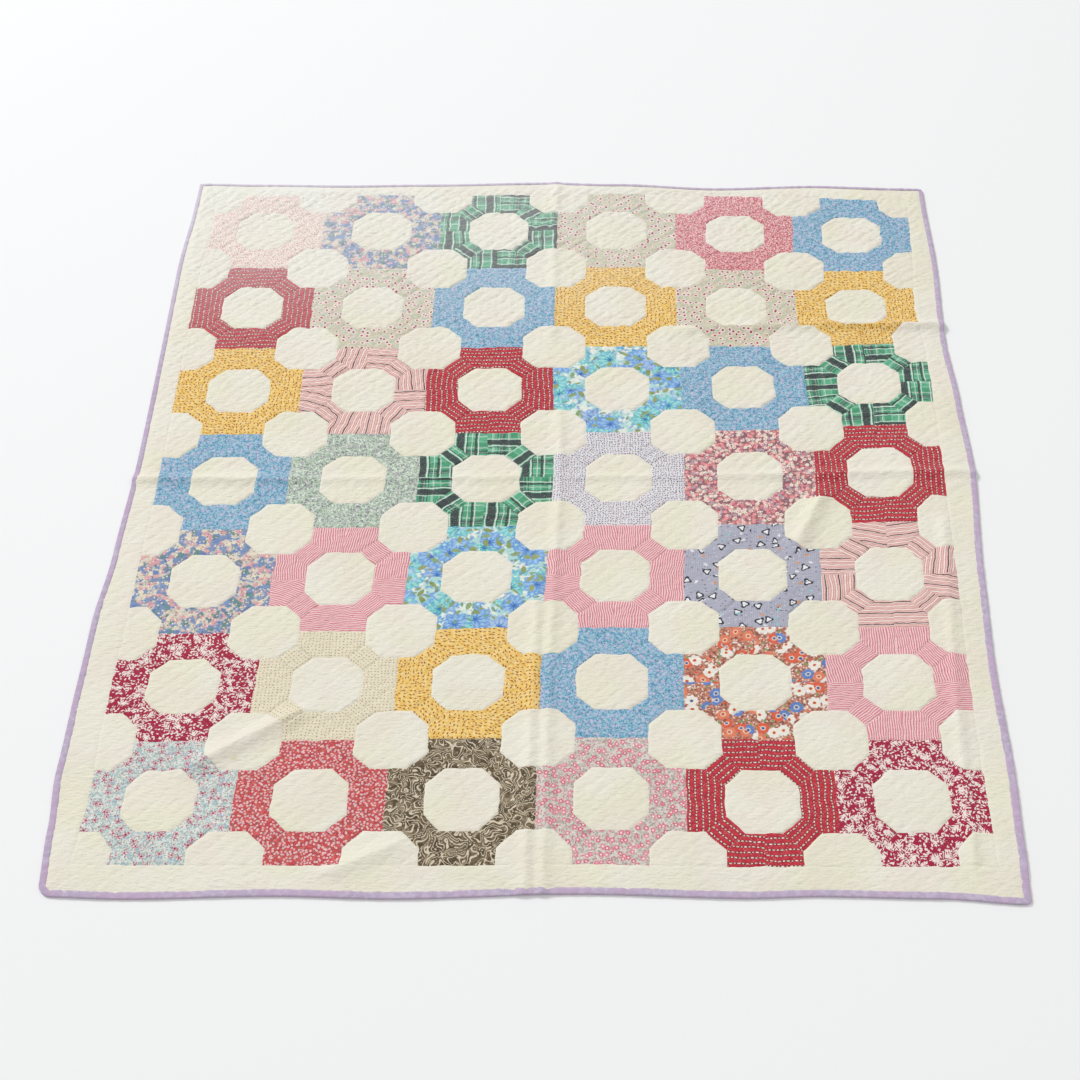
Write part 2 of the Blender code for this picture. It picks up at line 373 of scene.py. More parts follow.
class QuiltTop:
    """The quilt top as one grid of points, and the patch that each of its faces belongs to."""

    def __init__(self, sizes):
        self.step = PATCH / SEGMENTS
        self.lines_x = lines_between(LEFT, RINGS_ACROSS, RIGHT, self.step)
        self.lines_y = lines_between(FOOT, RINGS_ALONG, HEAD, self.step)
        self.x, self.y = np.meshgrid(self.lines_x, self.lines_y)
        self.inset = np.minimum(
            np.minimum(self.x - LEFT, RIGHT - self.x), np.minimum(self.y - FOOT, HEAD - self.y)
        )
        self.divide(sizes.clip)
        self.shape_points(sizes)

    def divide(self, clip):
        """Makes the faces: a square for each cell, or two triangles where a clipped corner crosses it."""
        rows, columns = self.x.shape
        corner = np.arange(rows * columns).reshape(rows, columns)
        low_left, low_right = corner[:-1, :-1].ravel(), corner[:-1, 1:].ravel()
        high_left, high_right = corner[1:, :-1].ravel(), corner[1:, 1:].ravel()
        middle_x = (self.x[:-1, :-1] + self.x[1:, 1:]).ravel() / 2
        middle_y = (self.y[:-1, :-1] + self.y[1:, 1:]).ravel() / 2
        kind, _, _, local_x, local_y = patch_at(middle_x, middle_y, clip)
        on_clip = np.abs(np.abs(local_x) + np.abs(local_y) - clip) < self.step / 4
        cut = on_clip & (kind != BORDER)
        self.squares = np.stack([low_left, low_right, high_right, high_left], 1)[~cut]
        falling = local_x * local_y > 0
        down, up = cut & falling, cut & ~falling
        self.triangles = np.concatenate(
            [
                np.stack([low_left, low_right, high_left], 1)[down],
                np.stack([low_right, high_right, high_left], 1)[down],
                np.stack([low_left, low_right, high_right], 1)[up],
                np.stack([low_left, high_right, high_left], 1)[up],
            ]
        )

    def waves(self, along, across, turn, seed):
        """Smooth random waves over the whole top, about -1 to 1."""
        return crumple(self.x.shape, self.step, along, across, turn, seed)

    def sewn_by_hand(self, wobble):
        """Sewn places moved by hand wobble and by the piecing's strays, but not at the rim."""
        calm = np.clip((self.inset - 12 * MM) / (16 * MM), 0, 1)
        stray_x = self.waves(0.09, 0.07, 0.0, 11) + 0.4 * self.waves(0.03, 0.03, 0.0, 12)
        stray_y = self.waves(0.07, 0.09, 0.0, 13) + 0.4 * self.waves(0.03, 0.03, 0.0, 14)
        sewn_x = self.x + stray_x * wobble * calm
        sewn_y = self.y + stray_y * wobble * calm
        within = np.clip((self.inset - 14 * MM) / (45 * MM), 0, 1)
        for across, along, reach_x, reach_y, right, to_head in EASES:
            off_x, off_y = (self.x / RING - across) / reach_x, (self.y / RING - along) / reach_y
            hold = np.exp(-(off_x**2) - off_y**2) * within * MM
            sewn_x += hold * right
            sewn_y += hold * to_head
        return sewn_x, sewn_y, calm

    def relief(self, sizes):
        """How far puffs, washed crinkles, seams and sagging stand out of the cloth's even thickness."""
        across, along = self.x / WIDTH, np.clip(self.y / LENGTH, 0, 1)
        rise = np.abs(np.sin(np.pi * (self.x + self.y) / sizes.quilting_step))
        fall = np.abs(np.sin(np.pi * (self.x - self.y) / sizes.quilting_step))
        # The lower right has been pressed flatter than the upper left
        springy = 0.8 + 1.5 * along**2 * np.clip(1.2 - 0.7 * across, 0, 1)
        puff = sizes.puff * (rise * fall) ** 0.35 * springy * (1 + 0.45 * self.waves(0.25, 0.2, 0.3, 15))
        level = self.waves(0.035, 0.011, 0.05, 16) + 0.7 * self.waves(0.02, 0.009, 0.3, 17)
        slant = self.waves(0.08, 0.018, 0.7, 18) * np.clip(across * 1.2, 0.25, 1) * (0.5 + 0.5 * along)
        crinkle = sizes.crinkle * 0.9 * (level + slant) * springy
        seam = self.seams(sizes.clip)
        beside = np.roll(seam, 1, 0) + np.roll(seam, -1, 0) + np.roll(seam, 1, 1) + np.roll(seam, -1, 1)
        seams = sizes.seam_depth * (0.35 * np.clip((seam + beside) / 3, 0, 1) - 1.2 * seam)
        sag = self.waves(0.5, 0.35, 0.2, 19) * 0.7 * MM
        return puff - sizes.puff * 0.5 + crinkle + seams + sag

    def shape_points(self, sizes):
        """Lays the points down, with the folds under them and the relief on them."""
        sewn_x, sewn_y, calm = self.sewn_by_hand(sizes.wobble)
        place_x, place_y = in_frame(sewn_x, sewn_y)
        bound = np.interp(self.inset / MM, [2, 14, 17, 32], [2.4, 3.5, 3.7, 4.0]) * MM
        fold = lift(self.x, self.y)
        crest = lift(self.x, self.y, CREST) - fold
        height = bound + fold + (self.relief(sizes) + crest) * calm
        self.points = np.stack([place_x, place_y, np.maximum(height, THINNEST)], 2)

    def seams(self, clip):
        """1 at each point where different patches meet, and 0 elsewhere."""
        nudge, half = self.step / 4, self.step / 8
        keys = []
        for nudge_x, nudge_y in ((nudge, half), (-nudge, half), (half, -nudge), (-half, -nudge)):
            kind, block_x, block_y, _, _ = patch_at(self.x + nudge_x, self.y + nudge_y, clip)
            octagon_x = np.floor((self.x + nudge_x) / RING + np.where(kind == CORNER_OCTAGON, 0.5, 0))
            octagon_y = np.floor((self.y + nudge_y) / RING + np.where(kind == CORNER_OCTAGON, 0.5, 0))
            plain = (kind == CORNER_OCTAGON) | (kind == CENTRE_OCTAGON)
            column = np.where(plain, octagon_x, block_x)
            row = np.where(plain, octagon_y, block_y)
            keys.append(np.where(kind == BORDER, -1, (kind * MOST_BLOCKS + column) * MOST_BLOCKS + row))
        differ = (keys[0] != keys[1]) | (keys[0] != keys[2]) | (keys[0] != keys[3])
        return differ.astype(float)

    def at(self, x, y):
        """Laid points of the top at sewn places between its grid points."""
        column = np.interp(x, self.lines_x, np.arange(len(self.lines_x)))
        row = np.interp(y, self.lines_y, np.arange(len(self.lines_y)))
        left = np.minimum(column.astype(int), len(self.lines_x) - 2)
        low = np.minimum(row.astype(int), len(self.lines_y) - 2)
        over, up = (column - left)[:, None], (row - low)[:, None]
        below = self.points[low, left] * (1 - over) + self.points[low, left + 1] * over
        above = self.points[low + 1, left] * (1 - over) + self.points[low + 1, left + 1] * over
        return below * (1 - up) + above * up


TOPS = {}


def quilt_top(sizes):
    """The quilt top for these sizes, worked out once."""
    key = (sizes.clip, sizes.puff, sizes.crinkle, sizes.seam_depth, sizes.wobble, sizes.quilting_step)
    if key not in TOPS:
        TOPS.clear()
        TOPS[key] = QuiltTop(sizes)
    return TOPS[key]


# ---------------------------------------------------------------- meshes


def new_piece(name, points, faces, material, maps=None):
    """A smooth mesh piece from points, arrays of faces that have equal sides, and UV maps."""
    used, corners = np.unique(np.concatenate([group.ravel() for group in faces]), return_inverse=True)
    sides = np.concatenate([np.full(len(group), group.shape[1]) for group in faces])
    mesh = bpy.data.meshes.new(name)
    mesh.vertices.add(len(used))
    mesh.vertices.foreach_set("co", points[used].astype(np.float32).ravel())
    mesh.loops.add(len(corners))
    mesh.loops.foreach_set("vertex_index", corners.astype(np.int32).ravel())
    mesh.polygons.add(len(sides))
    mesh.polygons.foreach_set("loop_start", np.concatenate([[0], np.cumsum(sides)[:-1]]).astype(np.int32))
    for map_name, values in (maps or {}).items():
        layer = mesh.uv_layers.new(name=map_name)
        layer.data.foreach_set("uv", values.astype(np.float32).ravel())
    mesh.update(calc_edges=True)
    mesh.shade_smooth()
    mesh.validate()
    return finish_piece(name, mesh, material)


def finish_piece(name, mesh, material):
    """Puts a finished mesh in the scene, on the frame's body, with its material."""
    mesh.materials.clear()
    mesh.materials.append(material)
    piece = bpy.data.objects.new(name, mesh)
    bpy.context.scene.collection.objects.link(piece)
    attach(piece, "root")
    return piece


# ---------------------------------------------------------------- materials


# Washed-in creases: (waves to a metre along x, y and z, turn of their grain, share of the relief)
CREASES = (((75.0, 210.0, 90.0), 0.08, 0.85), ((70.0, 180.0, 90.0), 0.75, 0.7))
BUMP_DEPTH = 3.2 * MM
WEAVE_PART = 0.022
THREAD_MM = 1.1

# Painted glare of the window light, palest at the head's left corner: its linear colour there, its share, and
# its fall-off across and along
GLARE_COLOUR = (0.93, 0.94, 0.95, 1.0)
MOST_GLARE = 0.34
GLARE_SCALE = (1 / 1.8, 1.35)

# What a motif is like when its recipe doesn't say: petals round it, depth of the notch between them, fronds
# along it, times as long as broad, stray from an even grid, share of places filled, seed, softness of its
# edge, and how far it may turn, in whole turns
MOTIF_SETTINGS = {
    "petals": 0, "notch": 0.0, "fronds": 0, "stretch": 1.0, "scatter": 1.0, "share": 1.0, "seed": 0.0,
    "soft": 0.2, "turn": 1.0,
}


def linear(hex_colour):
    """An sRGB hex colour as linear RGBA."""
    channels = [int(hex_colour[start : start + 2], 16) / 255 for start in (1, 3, 5)]
    return (*(c / 12.92 if c <= 0.04045 else ((c + 0.055) / 1.055) ** 2.4 for c in channels), 1.0)


def add_node(tree, kind, inputs=None, stops=(), **settings):
    """Adds a node with its settings and even colour stops, and links or sets its inputs."""
    node = tree.nodes.new(kind)
    for name, value in settings.items():
        setattr(node, name, value)
    for socket, value in (inputs or {}).items():
        if isinstance(value, bpy.types.NodeSocket):
            tree.links.new(value, node.inputs[socket])
        else:
            node.inputs[socket].default_value = value
    for index, stop in enumerate(stops if len(stops) != 1 else stops * 2):
        ramp = node.color_ramp
        ramp.interpolation = "CONSTANT"
        if index > 1:
            ramp.elements.new(1.0)
        ramp.elements[index].position = index / max(len(stops), 2)
        ramp.elements[index].color = linear(stop)
    return node


def motif_group():
    """A node group that scatters dots, petalled flowers, leaves or fronds, each turned its own way."""
    if "Scattered motif" in bpy.data.node_groups:
        return bpy.data.node_groups["Scattered motif"]
    tree = bpy.data.node_groups.new("Scattered motif", "ShaderNodeTree")
    numbers = ("Pitch", "Size", "Petals", "Notch", "Fronds", "Stretch")
    numbers += ("Scatter", "Share", "Seed", "Soft", "Turn")
    for name in numbers:
        tree.interface.new_socket(name, in_out="INPUT", socket_type="NodeSocketFloat")
    tree.interface.new_socket("At", in_out="INPUT", socket_type="NodeSocketVector")
    for name in ("Mask", "Heart", "Pick"):
        tree.interface.new_socket(name, in_out="OUTPUT", socket_type="NodeSocketFloat")
    given = tree.nodes.new("NodeGroupInput").outputs
    cells = add_node(tree, "ShaderNodeMath", {0: 1.0, 1: given["Pitch"]}, operation="DIVIDE").outputs[0]
    spread = {0: given["At"], "Scale": cells}
    scaled = add_node(tree, "ShaderNodeVectorMath", spread, operation="SCALE").outputs[0]
    start = add_node(tree, "ShaderNodeCombineXYZ", {0: given["Seed"], 1: given["Seed"]}).outputs[0]
    moved = add_node(tree, "ShaderNodeVectorMath", {0: scaled, 1: start}, operation="ADD").outputs[0]
    layout = {"Vector": moved, "Scale": 1.0, "Randomness": given["Scatter"]}
    cell = add_node(tree, "ShaderNodeTexVoronoi", layout, voronoi_dimensions="2D").outputs
    ends = {0: moved, 1: cell["Position"]}
    local = add_node(tree, "ShaderNodeVectorMath", ends, operation="SUBTRACT").outputs[0]
    draws = add_node(tree, "ShaderNodeSeparateColor", {0: cell["Color"]}).outputs
    part = add_node(tree, "ShaderNodeMath", {0: draws[0], 1: given["Turn"]}, operation="MULTIPLY").outputs[0]
    angle = add_node(tree, "ShaderNodeMath", {0: part, 1: 2 * math.pi}, operation="MULTIPLY").outputs[0]
    spin = {"Vector": local, "Angle": angle}
    turned = add_node(tree, "ShaderNodeVectorRotate", spin, rotation_type="Z_AXIS").outputs[0]
    place = add_node(tree, "ShaderNodeSeparateXYZ", {0: turned}).outputs
    known = {name: given[name] for name in numbers}
    known.update({"x": place[0], "y": place[1], "draw": draws[1]})
    # The distance from the motif's middle, its edge (drawn in between petals or leaflets), and what is within
    steps = (
        ("narrow", "MULTIPLY", "y", "Stretch"),
        ("x squared", "MULTIPLY", "x", "x"),
        ("both squared", "MULTIPLY_ADD", "narrow", "narrow", "x squared"),
        ("distance", "SQRT", "both squared"),
        ("size in cells", "DIVIDE", "Size", "Pitch"),
        ("bearing", "ARCTAN2", "narrow", "x"),
        ("petal turn", "MULTIPLY", "bearing", "Petals"),
        ("from stem", "ABSOLUTE", "y"),
        ("along leaflet", "MULTIPLY_ADD", "from stem", 1.2, "x"),
        ("leaflet part", "DIVIDE", "along leaflet", "size in cells"),
        ("leaflets", "MULTIPLY", "leaflet part", "Fronds"),
        ("lobe turn", "MULTIPLY_ADD", "leaflets", 2 * math.pi, "petal turn"),
        ("lobes", "COSINE", "lobe turn"),
        ("less", "SUBTRACT", "lobes", 1.0),
        ("reach", "MULTIPLY_ADD", "less", "Notch", 1.0),
        ("half size", "MULTIPLY", "size in cells", 0.5),
        ("limit", "MULTIPLY", "half size", "reach"),
        ("soft rim", "MULTIPLY", "limit", "Soft"),
        ("outer", "ADD", "limit", "soft rim"),
        ("inner", "SUBTRACT", "limit", "soft rim"),
        ("heart outer", "MULTIPLY", "limit", 0.5),
        ("heart inner", "MULTIPLY", "limit", 0.3),
        ("there", "LESS_THAN", "draw", "Share"),
    )
    for result, operation, *values in steps:
        wires = {index: known.get(value, value) for index, value in enumerate(values)}
        known[result] = add_node(tree, "ShaderNodeMath", wires, operation=operation).outputs[0]
    results = tree.nodes.new("NodeGroupOutput").inputs
    for name, outer, inner in (("Mask", "outer", "inner"), ("Heart", "heart outer", "heart inner")):
        edge = {"Value": known["distance"], "From Min": known[outer], "From Max": known[inner]}
        edge["To Max"] = known["there"]
        tree.links.new(add_node(tree, "ShaderNodeMapRange", edge).outputs[0], results[name])
    tree.links.new(draws[2], results["Pick"])
    return tree


def pattern(draw):
    """Makes a pattern take its settings in a recipe, and a tree and the places on the cloth when it is drawn.

    A drawn pattern gives pairs of a mask and the colour that it lays over what is under it.
    """

    def set_up(**settings):
        return partial(draw, **settings)

    return set_up


@pattern
def motifs(tree, at, pitch, size, colours, heart=None, **settings):
    """A motif of this size every so many millimetres, and its heart."""
    wires = {"Pitch": pitch, "Size": size, "At": at}
    for name, usual in MOTIF_SETTINGS.items():
        wires[name.capitalize()] = settings.get(name, usual)
    shapes = add_node(tree, "ShaderNodeGroup", wires, node_tree=motif_group()).outputs
    shade = add_node(tree, "ShaderNodeValToRGB", {0: shapes["Pick"]}, stops=colours).outputs[0]
    drawn = [(shapes["Mask"], shade)]
    return drawn + [(shapes["Heart"], linear(heart))] if heart else drawn


@pattern
def bands(tree, at, pitch, width, colour, offset=0.0, along=True, cover=1.0, wander=0.0):
    """Parallel stripes of this width every so many millimetres, running along or across the grain."""
    parts = add_node(tree, "ShaderNodeSeparateXYZ", {0: at}).outputs
    across = parts[1] if along else parts[0]
    drift = add_node(tree, "ShaderNodeTexNoise", {"Vector": at, "Scale": 0.04, "Detail": 1.0}).outputs[0]
    strayed = {0: drift, 1: wander, 2: across}
    stray = add_node(tree, "ShaderNodeMath", strayed, operation="MULTIPLY_ADD").outputs[0]
    shifted = add_node(tree, "ShaderNodeMath", {0: stray, 1: offset}, operation="ADD").outputs[0]
    saw = add_node(tree, "ShaderNodeMath", {0: shifted, 1: pitch / 2}, operation="PINGPONG").outputs[0]
    edge = {"Value": saw, "From Min": width / 2 + 0.25, "From Max": width / 2 - 0.25, "To Max": cover}
    return ((add_node(tree, "ShaderNodeMapRange", edge).outputs[0], linear(colour)),)


@pattern
def mottle(tree, at, size, colour, share, seed=0.0, soft=0.04, detail=2.0, cover=1.0):
    """Soft-edged blotches of about this size that cover this share of the ground."""
    start = (seed * 97.0, seed * 53.0, 0.0)
    place = add_node(tree, "ShaderNodeVectorMath", {0: at, 1: start}, operation="ADD").outputs[0]
    cloud = {"Vector": place, "Scale": 1 / size, "Detail": detail, "Roughness": 0.5}
    level = 0.5 + (0.5 - share) * 0.42
    depth = add_node(tree, "ShaderNodeTexNoise", cloud, noise_dimensions="2D").outputs[0]
    edge = {"Value": depth, "From Min": level - soft, "From Max": level + soft, "To Max": cover}
    return ((add_node(tree, "ShaderNodeMapRange", edge).outputs[0], linear(colour)),)


@pattern
def scrolls(tree, at, size, width, colour, seed, every):
    """Thin winding lines that loop round and into each other, as paisley outlines and scrollwork do."""
    start = (seed * 97.0, seed * 53.0, 0.0)
    place = add_node(tree, "ShaderNodeVectorMath", {0: at, 1: start}, operation="ADD").outputs[0]
    cloud = {"Vector": place, "Scale": 1 / size, "Detail": 0.0, "Distortion": 0.5}
    depth = add_node(tree, "ShaderNodeTexNoise", cloud, noise_dimensions="2D").outputs[0]
    saw = add_node(tree, "ShaderNodeMath", {0: depth, 1: every}, operation="PINGPONG").outputs[0]
    edge = {"Value": saw, "From Min": width * 1.2, "From Max": width * 0.7}
    return ((add_node(tree, "ShaderNodeMapRange", edge).outputs[0], linear(colour)),)


@pattern
def dash_rows(tree, at, pitch, every, colours, outline):
    """Rows of dots and dashes by turns, each with a dark outline."""
    place = add_node(tree, "ShaderNodeSeparateXYZ", {0: at}).outputs
    known = {"x": place[0], "y": place[1]}
    steps = (
        ("rows", "DIVIDE", "y", pitch),
        ("row", "FLOOR", "rows"),
        ("part of row", "FRACT", "rows"),
        ("from middle", "SUBTRACT", "part of row", 0.5),
        ("aside", "MULTIPLY", "from middle", pitch),
        ("row draw", "MULTIPLY", "row", 0.37),
        ("row start", "FRACT", "row draw"),
        ("shifted", "MULTIPLY_ADD", "row start", 2 * every, "x"),
        ("marks", "DIVIDE", "shifted", every),
        ("mark", "FLOOR", "marks"),
        ("part of mark", "FRACT", "marks"),
        ("from mark", "SUBTRACT", "part of mark", 0.5),
        ("away", "ABSOLUTE", "from mark"),
        ("along", "MULTIPLY", "away", every),
        ("odd", "MODULO", "mark", 2.0),
        ("dash", "ABSOLUTE", "odd"),
        ("half length", "MULTIPLY_ADD", "dash", 1.3, 0.3),
        ("over", "SUBTRACT", "along", "half length"),
        ("past", "MAXIMUM", "over", 0.0),
        ("past squared", "MULTIPLY", "past", "past"),
        ("both squared", "MULTIPLY_ADD", "aside", "aside", "past squared"),
        ("distance", "SQRT", "both squared"),
        ("radius", "MULTIPLY_ADD", "dash", -0.15, 1.55),
        ("outer", "ADD", "radius", 1.0),
        ("edge", "LESS_THAN", "distance", "outer"),
        ("body", "LESS_THAN", "distance", "radius"),
        ("number", "ADD", "mark", "row"),
        ("number draw", "MULTIPLY", "number", 0.618),
        ("pick", "FRACT", "number draw"),
    )
    for result, operation, *values in steps:
        wires = {index: known.get(value, value) for index, value in enumerate(values)}
        known[result] = add_node(tree, "ShaderNodeMath", wires, operation=operation).outputs[0]
    ink = add_node(tree, "ShaderNodeValToRGB", {0: known["pick"]}, stops=colours).outputs[0]
    return ((known["edge"], linear(outline)), (known["body"], ink))


@pattern
def stains(tree, at, spots):
    """Old faint stains where they lie on the quilt: (x, y, radius in metres, colour, strength)."""
    around = add_node(tree, "ShaderNodeTexCoord").outputs["Object"]
    found = []
    for x, y, radius, colour, strength in spots:
        ends = {0: around, 1: (x, y, 4 * MM)}
        away = add_node(tree, "ShaderNodeVectorMath", ends, operation="DISTANCE").outputs[1]
        cloud = {"Vector": around, "Scale": 90.0, "Detail": 2.0}
        rough = add_node(tree, "ShaderNodeTexNoise", cloud).outputs[0]
        ragged = {0: rough, 1: radius, 2: away}
        reach = add_node(tree, "ShaderNodeMath", ragged, operation="MULTIPLY_ADD").outputs[0]
        edge = {"Value": reach, "From Min": radius * 1.5, "From Max": radius * 0.5, "To Max": strength}
        found.append((add_node(tree, "ShaderNodeMapRange", edge).outputs[0], linear(colour)))
    return found


def faded_with_glare(tree, at, around, colour, fade):
    """The colour made uneven by slubs and washing, and paled towards one corner by a painted glare of the
    window light.
    """
    threads = {"Vector": at, "Scale": 0.5, "Detail": 3.0, "Roughness": 0.7}
    slub = add_node(tree, "ShaderNodeTexNoise", threads).outputs[0]
    wash = add_node(tree, "ShaderNodeTexNoise", {"Vector": around, "Scale": 7.0, "Detail": 3.0}).outputs[0]
    both = add_node(tree, "ShaderNodeMath", {0: slub, 1: wash}, operation="ADD").outputs[0]
    shift = {"Value": both, "From Min": 0.6, "From Max": 1.4, "To Min": 1 - fade, "To Max": 1 + fade}
    value = add_node(tree, "ShaderNodeMapRange", shift).outputs[0]
    worn = add_node(tree, "ShaderNodeHueSaturation", {"Color": colour, "Value": value}).outputs[0]
    # Painted glare of the window light: the corner at the head's left is palest, and the cloth less and less
    # so further from it
    across, along = GLARE_SCALE
    corner = ((RIGHT - LEFT) / 2 * across, -(HEAD - FOOT) / 2 * along, 0.0)
    offset = {"Vector": around, "Location": corner, "Scale": (across, along, 0.0)}
    away = add_node(tree, "ShaderNodeMapping", offset).outputs[0]
    distance = add_node(tree, "ShaderNodeVectorMath", {0: away}, operation="LENGTH").outputs["Value"]
    reach = {"Value": distance, "From Min": 0.15, "From Max": 1.0, "To Min": MOST_GLARE, "To Max": 0.0}
    glare = add_node(tree, "ShaderNodeMapRange", reach).outputs[0]
    pale = {0: glare, 6: worn, 7: GLARE_COLOUR}
    return add_node(tree, "ShaderNodeMix", pale, data_type="RGBA").outputs[2]


def cloth_relief(tree, at, around, creases):
    """The bump of the plain weave and of washed-in creases."""
    waves = []
    for part in add_node(tree, "ShaderNodeSeparateXYZ", {0: at}).outputs[:2]:
        turns = {0: part, 1: 2 * math.pi / THREAD_MM}
        turn = add_node(tree, "ShaderNodeMath", turns, operation="MULTIPLY").outputs[0]
        waves.append(add_node(tree, "ShaderNodeMath", {0: turn}, operation="SINE").outputs[0])
    weave = add_node(tree, "ShaderNodeMath", {0: waves[0], 1: waves[1]}, operation="MULTIPLY").outputs[0]
    height = add_node(tree, "ShaderNodeMath", {0: weave, 1: WEAVE_PART}, operation="MULTIPLY").outputs[0]
    for scale, turn, share in CREASES:
        stretch = {"Vector": around, "Scale": scale, "Rotation": (0.0, 0.0, turn)}
        stretched = add_node(tree, "ShaderNodeMapping", stretch).outputs[0]
        cloud = {"Vector": stretched, "Scale": 1.0, "Detail": 3.0, "Roughness": 0.5}
        ripple = add_node(tree, "ShaderNodeTexNoise", cloud).outputs[0]
        crease = {0: ripple, 1: share * creases, 2: height}
        height = add_node(tree, "ShaderNodeMath", crease, operation="MULTIPLY_ADD").outputs[0]
    wires = {"Height": height, "Strength": 0.7, "Distance": BUMP_DEPTH}
    return add_node(tree, "ShaderNodeBump", wires).outputs[0]


def cotton(name, ground, layers, fade=0.05, creases=1.0, roughness=0.88):
    """Plain-weave cotton: a ground colour, the layers printed or worn on it, its weave and its creases.

    Cotton is dull, since its short twisted fibres scatter light: high roughness, little specular and a faint
    sheen from loose fibre ends. fade is how far slubs and washing lighten or darken it. Real threads are 0.3
    to 0.5 mm apart; they are drawn THREAD_MM apart, or they wouldn't show.
    """
    material = bpy.data.materials.new(name)
    material.use_nodes = True
    tree = material.node_tree
    shader = tree.nodes["Principled BSDF"]
    cloth = add_node(tree, "ShaderNodeUVMap", uv_map="Cloth").outputs[0]
    at = add_node(tree, "ShaderNodeVectorMath", {0: cloth, "Scale": 1 / MM}, operation="SCALE").outputs[0]
    around = add_node(tree, "ShaderNodeTexCoord").outputs["Object"]
    colour = linear(ground)
    for layer in layers:
        for mask, shade in layer(tree, at):
            over = {0: mask, 6: colour, 7: shade}
            colour = add_node(tree, "ShaderNodeMix", over, data_type="RGBA").outputs[2]
    # Slubs and washing vary the colour, and a painted glare of the window light pales it towards the head's
    # left corner
    tree.links.new(faded_with_glare(tree, at, around, colour, fade), shader.inputs["Base Color"])
    tree.links.new(cloth_relief(tree, at, around, creases), shader.inputs["Normal"])
    shader.inputs["Roughness"].default_value = roughness
    shader.inputs["Specular IOR Level"].default_value = 0.3
    shader.inputs["Sheen Weight"].default_value = 0.25
    return material


# ---------------------------------------------------------------- the prints

Print = namedtuple("Print", "name ground grain rings layers")

